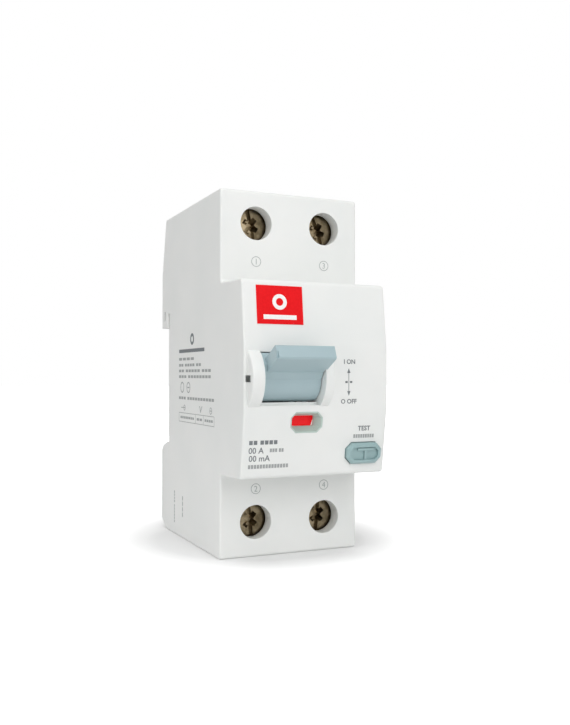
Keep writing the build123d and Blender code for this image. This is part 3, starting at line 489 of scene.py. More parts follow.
# Polyamide with glass, moulded against a spark-eroded tool: an even grey-white with a fine satin skin
HOUSING = MouldedPlastic("moulded_polyamide_light_grey", "EDEEEC", "E9EBE9", 0.42, glow=0.05)
# Polycarbonate from a polished tool: the smooth blue-grey handle has a soft sheen along its curves
HANDLE = MouldedPlastic("polished_polycarbonate_blue_grey", "A9BEC3", "A3B9BF", 0.3, grain=0.5, relief=0.002,
                        ior=1.58)
# Polycarbonate from the same tool family, a shade greyer around the indicator
BEZEL = MouldedPlastic("satin_polycarbonate_grey", "BFCFC8", "BACAC3", 0.4, ior=1.58)
# The test button's own batch of polycarbonate: a darker, greener blue-grey than the handle
BUTTON = MouldedPlastic("satin_polycarbonate_green_grey", "9BB7B8", "95B1B3", 0.34, grain=0.4, relief=0.003,
                        ior=1.58)
# Acetal: the rail clip slides, so it is a waxy off-white with a low sheen
CLIP = MouldedPlastic("moulded_acetal_off_white", "E2E3E0", "DCDEDA", 0.38, ior=1.48, glow=0.05)
# Polyamide with glass, black-grey: the carrier and the other inner mouldings show paler flow marks
MECHANISM = MouldedPlastic("glass_filled_polyamide_dark_grey", "4A4C4E", "55585A", 0.5, grain=0.3,
                           relief=0.01)
# Polyester moulding around the relay: near black and smooth
RELAY = MouldedPlastic("moulded_polyester_black", "232426", "2A2B2D", 0.35, grain=0.4, relief=0.003,
                       ior=1.57)
# Polyester film printed red: a full, even red without glare
LABEL = PrintedFilm("printed_polyester_film_red", "EE1C22", "E8191F")
# Nickel-iron tape, annealed: a dull grey with fine wound lines
CORE = WorkedMetal("annealed_nickel_iron_tape", "8E8F92", "77787C", 0.45, line=0.2, stretch=(1, 1, 12))
# Copper wire under clear enamel: a deep orange-brown with a soft shine
WIRE = WorkedMetal("enamelled_copper_wire", "B5562A", "9C4520", 0.28)
# Drawn copper, slightly oxidised
COPPER = WorkedMetal("drawn_copper", "D98A62", "B86C4A", 0.32)
# Silver alloy contact tips, punched
SILVER = WorkedMetal("silver_nickel_alloy", "E8E6E1", "CFCBC2", 0.3)
# Rolled brass strip, punched
BRASS = WorkedMetal("rolled_brass", "D5B56A", "B8975A", 0.3, stretch=(6, 6, 0.5))
# Steel screws in a dark yellow-brown passivation over zinc: bronze where it is thick, straw where it is thin
BRONZE = WorkedMetal("yellow_brown_passivated_steel", "A6977C", "74674F", 0.34, line=0.3, patch=1.6)
# Zinc-plated strip steel, folded into the cages
ZINC = WorkedMetal("zinc_plated_steel", "C3C5C6", "A7AAAC", 0.36, patch=3.5)
# Drawn and ground steel for pins, springs and the link
STEEL = WorkedMetal("drawn_spring_steel", "A9ABAE", "8F9194", 0.3)

SLOT_FINISHES = {
    "housing_plastic": HOUSING,
    "label_film": LABEL,
    "handle_plastic": HANDLE,
    "bezel_plastic": BEZEL,
    "clip_plastic": CLIP,
    "mechanism_plastic": MECHANISM,
    "relay_plastic": RELAY,
    "core_metal": CORE,
    "enamelled_copper": WIRE,
    "copper": COPPER,
    "silver": SILVER,
    "brass": BRASS,
    "bronzed_steel": BRONZE,
    "zinc_steel": ZINC,
    "steel": STEEL,
}


@dataclass
class FinishShelf:
    """Makes each finish once and hands it out.

    Attributes:
        made: The materials made so far, by name.
    """

    made: dict[str, bpy.types.Material] = field(default_factory=dict)

    def get(self, finish: Finish) -> bpy.types.Material:
        """Gives a finish's material, made at its first use.

        Args:
            finish: The finish.

        Returns:
            Its material.
        """
        if finish.name not in self.made:
            self.made[finish.name] = finish.build()
        return self.made[finish.name]

    def dress(self, thing: bpy.types.Object, finish: Finish) -> bpy.types.Object:
        """Puts one finish on a whole object.

        Args:
            thing: The object.
            finish: The finish.

        Returns:
            The object.
        """
        thing.data.materials.clear()
        thing.data.materials.append(self.get(finish))
        return thing


shelf = FinishShelf()


# Mesh helpers


def shown(name: str, shape: bmesh.types.BMesh) -> bpy.types.Object:
    """Turns a built shape into an object in the scene.

    Args:
        name: The object's name.
        shape: The shape, which is freed.

    Returns:
        The new object.
    """
    bmesh.ops.recalc_face_normals(shape, faces=shape.faces)
    mesh = bpy.data.meshes.new(name)
    shape.to_mesh(mesh)
    shape.free()
    thing = bpy.data.objects.new(name, mesh)
    bpy.context.scene.collection.objects.link(thing)
    return thing


def lathed(profile: list[tuple[float, float]], around: int) -> bmesh.types.BMesh:
    """Turns a profile about the Y axis into a closed shape.

    Args:
        profile: (radius, y) points in millimetres, the first and last of them on the axis.
        around: How many steps a turn has.

    Returns:
        The shape.
    """
    shape = bmesh.new()
    rings = []
    for radius, y in profile:
        if radius == 0:
            rings.append([shape.verts.new((0, y * MM, 0))])
            continue
        rings.append([
            shape.verts.new((radius * MM * math.cos(a), y * MM, radius * MM * math.sin(a)))
            for a in (2 * math.pi * i / around for i in range(around))])
    for low, high in zip(rings, rings[1:]):
        for i in range(around):
            j = (i + 1) % around
            corners = [low[i % len(low)], low[j % len(low)], high[j % len(high)], high[i % len(high)]]
            shape.faces.new(list(dict.fromkeys(corners)))
    return shape


def carved(thing: bpy.types.Object, cutter: bpy.types.Object) -> bpy.types.Object:
    """Cuts one object's volume out of another, and removes the cutter.

    Args:
        thing: The object that is cut.
        cutter: The object whose volume goes.

    Returns:
        The cut object.
    """
    cut = thing.modifiers.new("cut", "BOOLEAN")
    cut.operation = "DIFFERENCE"
    cut.solver = "EXACT"
    cut.object = cutter
    graph = bpy.context.evaluated_depsgraph_get()
    mesh = bpy.data.meshes.new_from_object(thing.evaluated_get(graph))
    thing.modifiers.clear()
    thing.data = mesh
    bpy.data.objects.remove(cutter)
    return thing


# Printing


class Side(Enum):
    """The faces of the device that carry print."""

    FRONT = "front"
    LEFT = "left"


@dataclass
class PrintedFace:
    """A face of a CAD node that print is laid on.

    Attributes:
        side: Which way the face looks.
        node: The CAD node.
        reach: How far off the device a ray starts, in millimetres.
    """

    side: Side
    node: str
    reach: float = 200.0

    def __post_init__(self) -> None:
        """Prepares the node's mesh for finding its surface."""
        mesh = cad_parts[self.node].data
        self.skin = BVHTree.FromPolygons([v.co for v in mesh.vertices], [p.vertices for p in mesh.polygons])

    def point(self, across: float, up: float, rise: float) -> Vector:
        """Finds the place above a spot of the face, as a reader sees it.

        Args:
            across: To the reader's right, in millimetres.
            up: Up the face, in millimetres.
            rise: How far off the surface, in millimetres.

        Returns:
            The place in metres.
        """
        if self.side is Side.FRONT:
            start, aim = Vector((across, -self.reach, up)), Vector((0, 1, 0))
        else:
            start, aim = Vector((-self.reach, -across, up)), Vector((1, 0, 0))
        hit = self.skin.ray_cast(start * MM, aim)[0]
        if hit is None:
            raise ValueError(f"print at {across:.1f}, {up:.1f} lies off {self.node}")
        return hit - aim * rise * MM


@dataclass(frozen=True)
class Ring:
    """A ring of ink.

    Attributes:
        center: The ring's middle.
        outer: Its outer radius.
        inner: Its inner radius.
    """

    center: tuple[float, float]
    outer: float
    inner: float


@dataclass(frozen=True)
class Word:
    """A word of generic lettering.

    Attributes:
        text: The letters or digits.
        center: The middle of the word.
        height: The height of a capital.
        bold: How much each stroke is thickened.
    """

    text: str
    center: tuple[float, float]
    height: float
    bold: float = 0.0


@dataclass(frozen=True)
class BlockLine:
    """A line of plain blocks that stands in for a line of words.

    Attributes:
        start: Where the line starts, across the face or up it.
        middle: The line's middle, the other way.
        end: Where the line ends.
        height: The blocks' height.
        words: How many blocks each word has.
        upright: Whether the line runs up the face instead of across it.
    """

    start: float
    middle: float
    end: float
    height: float
    words: tuple[int, ...]
    upright: bool = False


class Artwork:
    """Flat shapes drawn on a reader's plane, in millimetres, which are then laid on a face as a thin coat.

    Attributes:
        steps: How many steps a circle has.
        coat: Half the coat's thickness.
        merge: How near two corners are when they become one.
        gap: The room between two blocks, as a share of a block's width.
        space: The room between two words of blocks, as a share of a block's width.
        capital: The height of the typeface's capitals, as a share of its size.
        smoothness: How many steps each curve of a letter has.
    """

    steps = 28
    coat = 0.02
    merge = 1e-4
    gap = 0.28
    space = 0.9
    capital = 0.73
    smoothness = 3

    def __init__(self) -> None:
        """Starts with nothing drawn."""
        self.shape = bmesh.new()

    def outline(self, points: Iterable[tuple[float, float]]) -> None:
        """Draws a filled outline from its corner points."""
        self.shape.faces.new([self.shape.verts.new((x, y, 0)) for x, y in points])

    def bar(self, left: float, middle: float, right: float, height: float) -> None:
        """Draws a filled bar from left to right about a middle line."""
        low, high = middle - height / 2, middle + height / 2
        self.outline([(left, low), (right, low), (right, high), (left, high)])

    def circle(self, center: tuple[float, float], radius: float) -> list[tuple[float, float]]:
        """Gives the points of a circle."""
        turn = [2 * math.pi * i / self.steps for i in range(self.steps)]
        return [(center[0] + radius * math.cos(a), center[1] + radius * math.sin(a)) for a in turn]

    def ring(self, ring: Ring) -> None:
        """Draws a ring.

        Args:
            ring: The ring's place and size.
        """
        far = [self.shape.verts.new((x, y, 0)) for x, y in self.circle(ring.center, ring.outer)]
        near = [self.shape.verts.new((x, y, 0)) for x, y in self.circle(ring.center, ring.inner)]
        for i in range(self.steps):
            j = (i + 1) % self.steps
            self.shape.faces.new((far[i], far[j], near[j], near[i]))

    def frame(self, left: float, low: float, right: float, high: float, stroke: float) -> None:
        """Draws a rectangle's outline.

        Args:
            left: The middle of its left line.
            low: The middle of its lower line.
            right: The middle of its right line.
            high: The middle of its upper line.
            stroke: The lines' thickness.
        """
        self.bar(left, low, right, stroke)
        self.bar(left, high, right, stroke)
        for x in (left, right):
            self.bar(x - stroke / 2, (low + high) / 2, x + stroke / 2, high - low - stroke)

    def blocks(self, line: BlockLine) -> None:
        """Draws a line of plain blocks.

        Args:
            line: The line's place and its words.
        """
        count, spaces = sum(line.words), len(line.words) - 1
        block = (line.end - line.start) / (count + self.gap * (count - spaces - 1) + self.space * spaces)
        place = line.start
        for blocks in line.words:
            for _ in range(blocks):
                if line.upright:
                    low, high = line.middle - line.height / 2, line.middle + line.height / 2
                    self.outline([(low, place), (high, place), (high, place + block), (low, place + block)])
                else:
                    self.bar(place, line.middle, place + block, line.height)
                place += block * (1 + self.gap)
            place += block * (self.space - self.gap)

    def word(self, word: Word) -> None:
        """Draws a word about its centre.

        Args:
            word: The word's letters, place and size.
        """
        curve = bpy.data.curves.new("lettering", "FONT")
        curve.body = word.text
        curve.size = word.height / self.capital
        curve.offset = word.bold
        curve.resolution_u = self.smoothness
        written = bpy.data.objects.new("lettering", curve)
        bpy.context.scene.collection.objects.link(written)
        bpy.context.view_layer.update()
        mesh = bpy.data.meshes.new_from_object(written.evaluated_get(bpy.context.evaluated_depsgraph_get()))
        bpy.data.objects.remove(written)
        xs = [v.co.x for v in mesh.vertices]
        ys = [v.co.y for v in mesh.vertices]
        middle = ((min(xs) + max(xs)) / 2, (min(ys) + max(ys)) / 2)
        mesh.transform(Matrix.Translation((word.center[0] - middle[0], word.center[1] - middle[1], 0)))
        self.shape.from_mesh(mesh)
        bpy.data.meshes.remove(mesh)

    def lay(self, name: str, face: PrintedFace, ink: Finish, body: str = "housing") -> bpy.types.Object:
        """Lays everything drawn on a face, as a coat with a real thickness.

        Args:
            name: The piece's name.
            face: Where the coat lies.
            ink: The coat's finish.
            body: The CAD body that it moves with.

        Returns:
            The piece.
        """
        bmesh.ops.remove_doubles(self.shape, verts=self.shape.verts, dist=self.merge)
        under = list(self.shape.verts)
        raised = bmesh.ops.extrude_face_region(self.shape, geom=list(self.shape.faces))
        over = [item for item in raised["geom"] if isinstance(item, bmesh.types.BMVert)]
        for vert in over:
            vert.co = face.point(vert.co.x, vert.co.y, self.coat)
        for vert in under:
            vert.co = face.point(vert.co.x, vert.co.y, -self.coat)
        piece = shelf.dress(shown(name, self.shape), ink)
        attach(piece, body)
        log.info("printed %s", name)
        return piece


# Grey pad print on the front: the strongest tone of the device's own lettering
FRONT_INK = PadInk("grey_pad_printing_ink", "6F7477", "7C8184")
# The same ink, thinner on the small lines and on the side
THIN_INK = PadInk("thin_grey_pad_printing_ink", "9A9D9D", "A8ABAA")
# A paler mix of it for the terminal numbers and the batch lines
FAINT_INK = PadInk("faint_grey_pad_printing_ink", "A3A8A7", "B4B8B7")
# White ink on the red film
WHITE_INK = PadInk("white_screen_printing_ink", "FAFAF8", "F4F4F2")


@dataclass
class FrontPrinting:
    """The print on the device's front: terminal numbers, switch positions, test mark and rating lines.

    Attributes:
        terminal_x: How far the terminals lie from the middle.
        number_up: The height of the upper and lower terminal numbers.
        number_radius: The ring's radius around a number.
        number_share: A number's height as a share of the ring's radius.
        stroke: The thickness of a number's ring.
        mark_x: The middle of the switch marks.
        arrow_up: The heights of the arrow's upper and lower tips.
        arrow_stroke: The thickness of the arrow's shaft.
        arrow_short: How far the shaft ends short of each tip.
        arrow_head: Half the width of an arrow head, and its length.
        tick: Where a tick starts and ends beside the shaft, and its height.
        marks: The words of the switch marks and of the test button.
        test_note: The line over the test button.
        ratings: The words of the rating lines.
        rating_note: The line above the ratings.
        small_notes: The small lines beside and below the ratings.
    """

    terminal_x: float = 9.0
    number_up: tuple[float, float] = (27.7, -26.0)
    number_radius: float = 1.25
    number_share: float = 1.15
    stroke: float = 0.16
    mark_x: float = 7.8
    arrow_up: tuple[float, float] = (2.4, -3.9)
    arrow_stroke: float = 0.14
    arrow_short: float = 0.8
    arrow_head: tuple[float, float] = (0.42, 1.1)
    tick: tuple[float, float, float] = (0.3, 0.9, 0.45)
    marks: tuple[Word, ...] = (
        Word("I ON", (8.0, 3.9), 1.05, 0.03),
        Word("O OFF", (7.8, -5.15), 1.05, 0.03),
        Word("TEST", (12.1, -11.4), 1.1, 0.035),
    )
    test_note: BlockLine = BlockLine(9.4, -13.2, 14.8, 0.85, (9,))
    ratings: tuple[Word, ...] = (
        Word("00 A", (-14.65, -15.7), 1.35, 0.02),
        Word("00 mA", (-13.8, -17.45), 1.35, 0.02),
    )
    rating_note: BlockLine = BlockLine(-16.4, -13.95, -9.7, 0.9, (2, 4))
    small_notes: tuple[BlockLine, ...] = (
        BlockLine(-11.4, -15.75, -8.1, 0.8, (3, 2)),
        BlockLine(-16.4, -19.25, -6.8, 0.85, (14,)),
    )

    def build(self) -> None:
        """Lays all the front's print."""
        face = PrintedFace(Side.FRONT, "front_cover")
        self.numbers(face)
        self.switch_marks(face)
        self.rating(face)

    def numbers(self, face: PrintedFace) -> None:
        """Lays a ringed number beside each terminal.

        Args:
            face: The front cover's face.
        """
        art = Artwork()
        places = ((-1, 0), (-1, 1), (1, 0), (1, 1))
        for number, (side, level) in enumerate(places, start=1):
            center = (side * self.terminal_x, self.number_up[level])
            art.ring(Ring(center, self.number_radius, self.number_radius - self.stroke))
            art.word(Word(str(number), center, self.number_radius * self.number_share))
        art.lay("terminal_numbers", face, FAINT_INK)

    def switch_marks(self, face: PrintedFace) -> None:
        """Lays the on and off marks, the arrow between them and the lines over the test button.

        Args:
            face: The front cover's face.
        """
        art = Artwork()
        for word in self.marks:
            art.word(word)
        self.arrow(art)
        art.lay("switch_marks", face, FRONT_INK)
        under = Artwork()
        under.blocks(self.test_note)
        under.lay("test_note", face, THIN_INK)

    def arrow(self, art: Artwork) -> None:
        """Draws the two-headed arrow and a tick on each side of its middle.

        Args:
            art: The drawing.
        """
        high, low = self.arrow_up
        middle, half = (high + low) / 2, self.arrow_stroke / 2
        art.bar(self.mark_x - half, middle, self.mark_x + half, high - low - 2 * self.arrow_short)
        near, far, height = self.tick
        art.bar(self.mark_x - far, middle, self.mark_x - near, height)
        art.bar(self.mark_x + near, middle, self.mark_x + far, height)
        wide, long = self.arrow_head
        for tip, way in ((high, -1), (low, 1)):
            root = tip + way * long
            art.outline([(self.mark_x, tip), (self.mark_x - wide, root), (self.mark_x + wide, root)][::way])

    def rating(self, face: PrintedFace) -> None:
        """Lays the rating lines at the lower left.

        Args:
            face: The front cover's face.
        """
        art = Artwork()
        art.blocks(self.rating_note)
        for word in self.ratings:
            art.word(word)
        art.lay("rating_lines", face, FRONT_INK)
        small = Artwork()
        for line in self.small_notes:
            small.blocks(line)
        small.lay("small_rating_lines", face, THIN_INK)


@dataclass
class LabelPrinting:
    """The plain emblem on the red label: a ring over a bar.

    Attributes:
        ring: The ring.
        bar_up: The height of the bar's middle.
        bar_half: Half the bar's length.
        bar_height: The bar's height.
    """

    ring: Ring = Ring((-9.15, 17.0), 1.75, 0.875)
    bar_up: float = 13.6
    bar_half: float = 4.0
    bar_height: float = 1.0

    def build(self) -> None:
        """Lays the emblem on the label."""
        art = Artwork()
        art.ring(self.ring)
        middle = self.ring.center[0]
        art.bar(middle - self.bar_half, self.bar_up, middle + self.bar_half, self.bar_height)
        art.lay("label_emblem", PrintedFace(Side.FRONT, "front_label"), WHITE_INK)


@dataclass
class SidePrinting:
    """The print on the left side: the plain emblem, lines of data, small signs and a table of three cells.

    Places run forward from the rail seat and up from the rail's centre.

    Attributes:
        left: Where the emblem's bar and the data lines start.
        emblem: The emblem's ring.
        emblem_bar: The middle, end and height of the bar under the ring.
        data: The middle, end and words of each data line.
        data_height: The height of the data lines' blocks.
        rings: The rings among the small signs.
        bars: The start, middle, end and height of each bar through a ring.
        tick: The two strokes of the tick.
        table: The left, low, right and high lines of the table's frame.
        table_stroke: The thickness of the table's lines.
        dividers: Where the lines between the cells stand.
        divider_height: The height of those lines.
        cells: The blocks in each cell.
        batch: The upright lines near the rail clip.
    """

    left: float = 9.4
    emblem: Ring = Ring((20.3, 10.0), 1.5, 0.75)
    emblem_bar: tuple[float, float, float] = (7.1, 29.8, 0.9)
    data: tuple[tuple[float, float, tuple[int, ...]], ...] = (
        (5.0, 21.7, (4,)),
        (3.4, 27.2, (2, 4, 2)),
        (1.9, 34.5, (2, 5, 3)),
        (0.4, 34.5, (3, 8)),
        (-5.2, 36.8, (3, 10)),
    )
    data_height: float = 0.7
    rings: tuple[Ring, ...] = (
        Ring((12.2, -2.4), 1.45, 1.15),
        Ring((17.4, -2.4), 1.45, 1.15),
        Ring((14.2, -7.7), 0.75, 0.55),
        Ring((34.6, -7.8), 0.85, 0.65),
    )
    bars: tuple[tuple[float, float, float, float], ...] = (
        (16.6, -2.4, 18.2, 0.3),
        (11.4, -7.7, 15.0, 0.2),
        (33.9, -7.8, 35.3, 0.2),
    )
    tick: tuple[tuple[tuple[float, float], ...], ...] = (
        ((26.2, -6.9), (27.1, -8.6), (27.35, -8.3), (26.6, -6.9)),
        ((28.4, -6.9), (28.0, -6.9), (27.1, -8.3), (27.1, -8.6)),
    )
    table: tuple[float, float, float, float] = (9.5, -11.4, 37.0, -9.1)
    table_stroke: float = 0.14
    dividers: tuple[float, ...] = (23.2, 29.2)
    divider_height: float = 2.1
    cells: tuple[BlockLine, ...] = (
        BlockLine(10.8, -10.25, 21.9, 0.6, (8,)),
        BlockLine(24.2, -10.25, 28.2, 0.6, (2,)),
        BlockLine(30.2, -10.25, 36.0, 0.6, (4,)),
    )
    batch: tuple[BlockLine, ...] = (
        BlockLine(-38.9, 5.7, -30.4, 0.6, (6, 4), upright=True),
        BlockLine(-36.4, 12.8, -31.0, 0.6, (4,), upright=True),
    )

    def build(self) -> None:
        """Lays all the side's print, which is on the base alone."""
        base = PrintedFace(Side.LEFT, "housing_base")
        dark = Artwork()
        dark.ring(self.emblem)
        dark.bar(self.left, *self.emblem_bar)
        dark.lay("side_emblem", base, FRONT_INK)
        art = Artwork()
        for middle, end, words in self.data:
            art.blocks(BlockLine(self.left, middle, end, self.data_height, words))
        art.lay("side_lines", base, THIN_INK)
        self.signs(base)
        faint = Artwork()
        for line in self.batch:
            faint.blocks(line)
        faint.lay("side_batch_lines", base, FAINT_INK)

    def signs(self, base: PrintedFace) -> None:
        """Lays the small signs and the table under them.

        Args:
            base: The base's left face.
        """
        art = Artwork()
        for ring in self.rings:
            art.ring(ring)
        for bar in self.bars:
            art.bar(*bar)
        for stroke in self.tick:
            art.outline(stroke)
        art.frame(*self.table, self.table_stroke)
        low, high, half = self.table[1], self.table[3], self.table_stroke / 2
        for x in self.dividers:
            art.bar(x - half, (low + high) / 2, x + half, self.divider_height)
        for line in self.cells:
            art.blocks(line)
        art.lay("side_signs", base, THIN_INK)


# Terminal screws


@dataclass
class TerminalScrew:
    """A cheese-head terminal screw with a slot, a cross recess and a rolled thread.

    Attributes:
        number: The terminal's number.
        turn: How far the slot stands round from level, in degrees.
        head_radius: The head's radius.
        head_height: The head's height.
        crown: How far the head's middle stands over its rim.
        dome: Points between the middle and the rim, as shares of the radius and of the crown.
        rim: Points of the rounded rim, as how far in from the edge and how far below the dome.
        chamfer: The chamfer at the underside of the head.
        neck: How far the neck under the head flares out, and how far it runs down.
        thread_radius: The thread's outer radius.
        thread_depth: The thread's depth.
        pitch: The thread's pitch.
        flank: From the thread's crest to its root along the screw, as a share of the pitch.
        crest: Half the crest's flat as a share of the flank.
        sink: How far the thread's ridge reaches into the shank.
        thin: The ridge's height at its two ends.
        fade: How many turns the ridge takes to grow to its full height.
        plain: The plain stretch between the thread and the head, and between the thread and the tip.
        tip: The chamfer at the tip.
        slot: The slot's width and depth.
        cross: The recess's width, length and depth.
        taper: The recess's width and length at its bottom, as shares of those at its top.
        above: How far over the head the recess's cutter starts.
        around: How many steps a turn has.
        sharp: The smallest angle between two faces that shows as an edge, in degrees.
    """

    number: int
    turn: float
    head_radius: float = 4.3
    head_height: float = 3.4
    crown: float = 0.25
    dome: tuple[tuple[float, float], ...] = ((0.0, 0.0), (0.35, 0.12), (0.7, 0.5))
    rim: tuple[tuple[float, float], ...] = ((0.35, 0.0), (0.1, 0.12), (0.0, 0.4))
    chamfer: float = 0.15
    neck: tuple[float, float] = (0.25, 0.2)
    thread_radius: float = 2.5
    thread_depth: float = 0.35
    pitch: float = 0.8
    flank: float = 0.42
    crest: float = 0.15
    sink: float = 0.05
    thin: float = 0.02
    fade: float = 1 / 3
    plain: float = 0.5
    tip: float = 0.4
    slot: tuple[float, float] = (1.1, 1.5)
    cross: tuple[float, float, float] = (1.5, 5.2, 2.2)
    taper: tuple[float, float] = (2 / 3, 0.4)
    above: float = 1.0
    around: int = 48
    sharp: float = 32.0

    def build(self) -> bpy.types.Object:
        """Makes the screw where its CAD node is.

        Returns:
            The screw.
        """
        node = f"terminal_screw_{self.number}"
        low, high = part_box(node)
        screw = shown(node + "_turned", self.blank((high.y - low.y) / MM))
        for cutter in (self.slot_cutter(), self.cross_cutter(0), self.cross_cutter(90)):
            screw = carved(screw, cutter)
        self.sharpen(screw)
        place = Matrix.Translation(((low.x + high.x) / 2, low.y, (low.z + high.z) / 2))
        screw.data.transform(place @ Matrix.Rotation(math.radians(self.turn), 4, "Y"))
        shelf.dress(screw, BRONZE)
        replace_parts(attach(screw, node), node)
        log.info("made %s", screw.name)
        return screw

    def blank(self, length: float) -> bmesh.types.BMesh:
        """Makes the screw before its recesses are cut, from y 0 at the head's top to y length at the tip.

        Args:
            length: From the head's top to the tip, in millimetres.

        Returns:
            The shape.
        """
        edge, under, core = self.head_radius, self.head_height, self.thread_radius - self.thread_depth
        flare, run = self.neck
        profile = [(edge * across, self.crown * down) for across, down in self.dome]
        profile += [(edge - inward, self.crown + down) for inward, down in self.rim]
        profile += [(edge, under - self.chamfer), (edge - self.chamfer, under)]
        profile += [(core + flare, under), (core, under + run), (core, length - self.tip)]
        profile += [(core - self.tip, length), (0.0, length)]
        shape = lathed(profile, self.around)
        self.thread(shape, under + self.plain, length - self.plain)
        return shape

    def thread(self, shape: bmesh.types.BMesh, start: float, end: float) -> None:
        """Adds the rolled thread as a closed ridge that winds round the shank.

        Args:
            shape: The screw's shape.
            start: Where the thread starts, in millimetres.
            end: Where it ends.
        """
        steps = int((end - start) / self.pitch * self.around)
        root = self.thread_radius - self.thread_depth - self.sink
        lowest = root + self.thin
        half = self.pitch * self.flank
        flat = half * self.crest
        ramp = self.around * self.fade
        sections = []
        for i in range(steps + 1):
            angle = 2 * math.pi * i / self.around
            y = start + self.pitch * i / self.around
            top = lowest + (self.thread_radius - lowest) * min(1.0, i / ramp, (steps - i) / ramp)
            corners = ((root, y - half), (top, y - flat), (top, y + flat), (root, y + half))
            sections.append([shape.verts.new(Vector((r * math.cos(angle), at, r * math.sin(angle))) * MM)
                             for r, at in corners])
        for near, far in zip(sections, sections[1:]):
            self.walls(shape, near, far)
        shape.faces.new(sections[0])
        shape.faces.new(sections[-1][::-1])

    def walls(self, shape: bmesh.types.BMesh, near: list[bmesh.types.BMVert],
              far: list[bmesh.types.BMVert]) -> None:
        """Joins two outlines of as many points with a face along each side.

        Args:
            shape: The shape that the faces join.
            near: One outline.
            far: The other outline.
        """
        for i in range(len(near)):
            j = (i + 1) % len(near)
            shape.faces.new((near[i], near[j], far[j], far[i]))

    def slot_cutter(self) -> bpy.types.Object:
        """Makes the volume of the slot, which runs past the head's edge on both sides.

        Returns:
            The cutter.
        """
        width, depth = self.slot
        shape = bmesh.new()
        size = (self.head_radius * 3, depth * 2, width)
        bmesh.ops.create_cube(shape, size=MM, matrix=Matrix.Diagonal((*size, 1)))
        return shown("slot_cutter", shape)

    def cross_cutter(self, turn: float) -> bpy.types.Object:
        """Makes the tapered volume of one arm of the cross recess.

        Args:
            turn: How far round it stands, in degrees.

        Returns:
            The cutter.
        """
        width, length, depth = self.cross
        narrow, short = self.taper
        shape = bmesh.new()
        ends = []
        for y, long, wide in ((-self.above, length, width), (depth, length * short, width * narrow)):
            ends.append([shape.verts.new(Vector((x * long / 2, y, z * wide / 2)) * MM)
                         for x, z in ((-1, -1), (1, -1), (1, 1), (-1, 1))])
        upper, lower = ends
        shape.faces.new(upper)
        shape.faces.new(lower[::-1])
        self.walls(shape, lower, upper)
        bmesh.ops.rotate(shape, verts=shape.verts, matrix=Matrix.Rotation(math.radians(turn + 45), 3, "Y"))
        return shown("cross_cutter", shape)

    def sharpen(self, screw: bpy.types.Object) -> None:
        """Shades the screw smooth except over its real edges.

        Args:
            screw: The screw.
        """
        for polygon in screw.data.polygons:
            polygon.use_smooth = True
        screw.data.set_sharp_from_angle(angle=math.radians(self.sharp))


# How far round each terminal's screw stands, in degrees
SCREW_TURNS = (78.0, 84.0, 70.0, 95.0)


# Carried-over CAD nodes


@dataclass
class CarriedNodes:
    """The CAD nodes whose shape is right as it is, which only take a finish.

    Attributes:
        flag_pin: The flag's pin as (x, z).
        flag_split: The angle from straight up at which the flag's two tones meet, in degrees.
    """

    flag_pin: tuple[float, float] = (-2.75, -17.75)
    flag_split: float = 20.0

    def build(self) -> None:
        """Dresses each node in the finish of its slot."""
        special = {
            "test_button": BUTTON,
            "indicator_flag": PaintedFlag("painted_flag_red_and_white", "E2191F", "F0F1EF", self.flag_pin,
                                          self.flag_split),
            "test_resistor": BandedResistor("lacquered_carbon_film_resistor", "C9AE86",
                                            ("7A3B1D", "1C1C1C", "D8701C", "B8963A"),
                                            first=8.2, pitch=1.15, width=0.5),
        }
        for name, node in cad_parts.items():
            slot = node.data.materials[0].name if node.data.materials else ""
            finish = special.get(name) or SLOT_FINISHES[slot.split(".")[0]]
            shelf.dress(node, finish)
            log.info("dressed %s in %s", name, finish.name)


# Studio


@dataclass(frozen=True)
class SoftBox:
    """A square soft light.

    Attributes:
        name: The light's name.
        place: Where it stands, in millimetres.
        size: Its side in millimetres.
        power: Its power in watts.
    """

    name: str
    place: tuple[float, float, float]
    size: float
    power: float


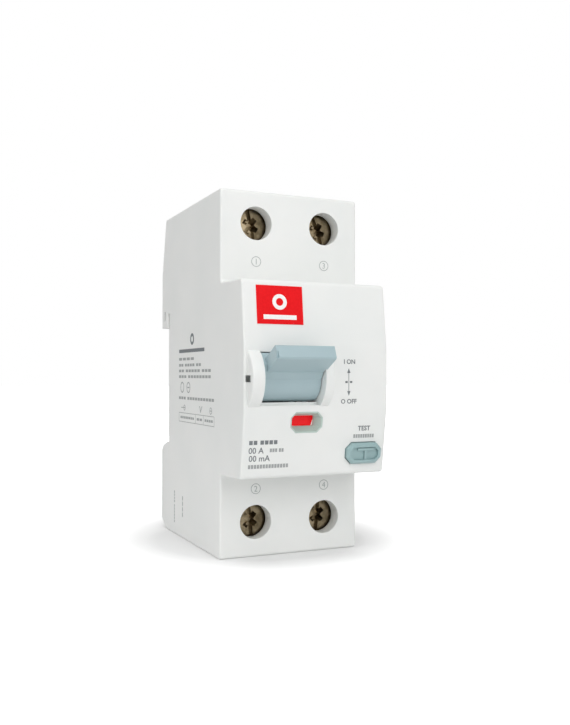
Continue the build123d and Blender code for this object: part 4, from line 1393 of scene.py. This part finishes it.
@dataclass
class Studio:
    """A white paper floor, soft lights and the camera.

    Attributes:
        room: The light that comes from all round.
        boxes: The soft lights.
        aim: What the lights point at.
        camera_place: Where the camera stands, in millimetres.
        camera_turn: How far right of +Y it looks, how far up, and how far it leans, in degrees.
        lens: The focal length.
        sensor: The long side of the camera's sensor.
        near: How near to the camera a thing is still seen.
        floor_half: Half the floor's side.
        paper: The floor's finish.
    """

    room: float = 0.40
    boxes: tuple[SoftBox, ...] = (
        SoftBox("key_light", (20.0, -560.0, 300.0), 420.0, 1.42),
        SoftBox("left_light", (-560.0, -160.0, 160.0), 420.0, 0.72),
        SoftBox("top_light", (-40.0, -80.0, 620.0), 420.0, 1.25),
    )
    aim: tuple[float, float, float] = (0.0, -26.0, 0.0)
    camera_place: tuple[float, float, float] = (-83.6, -219.4, 0.65)
    camera_turn: tuple[float, float, float] = (24.726, 0.933, 0.075)
    lens: float = 40.58
    sensor: float = 36.0
    near: float = 10.0
    floor_half: float = 3000.0
    # The paper's painted glow: none near the device, which paints a shadow round it, and full white far from
    # it
    paper: PaperSweep = PaperSweep("matt_white_paper", "F6F6F6", (0.0, 1.0), (26.0, 62.0),
                                   (0.0, -20.0, cad_box[0].z / MM))

    def build(self) -> None:
        """Makes the room, the floor, the lights and the camera."""
        self.surround()
        self.floor()
        for box in self.boxes:
            self.light(box)
        self.camera()

    def surround(self) -> None:
        """Sets the even light from all round. The plain transform keeps white paper white."""
        scene = bpy.context.scene
        scene.view_settings.view_transform = "Standard"
        world = bpy.data.worlds.new("even_room")
        world.use_nodes = True
        world.node_tree.nodes.clear()
        tree, white = world.node_tree, linear("FFFFFF")
        sky = add(tree, "ShaderNodeBackground", {"Color": white, "Strength": self.room})
        bright = add(tree, "ShaderNodeBackground", {"Color": white, "Strength": 1.0})
        path = add(tree, "ShaderNodeLightPath")
        seen = add(tree, "ShaderNodeMixShader", {
            0: path.outputs["Is Camera Ray"], 1: sky.outputs[0], 2: bright.outputs[0]})
        add(tree, "ShaderNodeOutputWorld", {"Surface": seen.outputs[0]})
        scene.world = world

    def floor(self) -> None:
        """Lays the paper under the device."""
        shape = bmesh.new()
        bmesh.ops.create_grid(shape, x_segments=1, y_segments=1, size=self.floor_half * MM,
                              matrix=Matrix.Translation((0, 0, cad_box[0].z)))
        sheet = shelf.dress(shown("paper_floor", shape), self.paper)

    def light(self, box: SoftBox) -> None:
        """Hangs one soft light, aimed at the device.

        Args:
            box: The light.
        """
        lamp = bpy.data.lights.new(box.name, "AREA")
        lamp.size = box.size * MM
        lamp.energy = box.power
        hung = bpy.data.objects.new(box.name, lamp)
        hung.location = Vector(box.place) * MM
        hung.rotation_euler = (Vector(self.aim) - Vector(box.place)).to_track_quat("-Z", "Y").to_euler()
        bpy.context.scene.collection.objects.link(hung)

    def camera(self) -> None:
        """Sets the camera."""
        turn, rise, lean = (math.radians(a) for a in self.camera_turn)
        ahead = Vector((math.sin(turn) * math.cos(rise), math.cos(turn) * math.cos(rise), math.sin(rise)))
        lens = bpy.data.cameras.new("camera")
        lens.lens = self.lens
        lens.sensor_width = self.sensor
        lens.clip_start = self.near * MM
        eye = bpy.data.objects.new("camera", lens)
        eye.rotation_mode = "QUATERNION"
        eye.location = Vector(self.camera_place) * MM
        leaned = Matrix.Rotation(lean, 4, "Z").to_quaternion()
        eye.rotation_quaternion = ahead.to_track_quat("-Z", "Y") @ leaned
        bpy.context.scene.collection.objects.link(eye)
        bpy.context.scene.camera = eye


def main() -> None:
    """Builds the studio, dresses the CAD nodes, and adds the turned screws and the print."""
    logging.basicConfig(level=logging.INFO, format="%(message)s")
    Studio().build()
    CarriedNodes().build()
    for number, turn in enumerate(SCREW_TURNS, start=1):
        TerminalScrew(number, turn).build()
    FrontPrinting().build()
    LabelPrinting().build()
    SidePrinting().build()


if __name__ == "__main__":
    main()
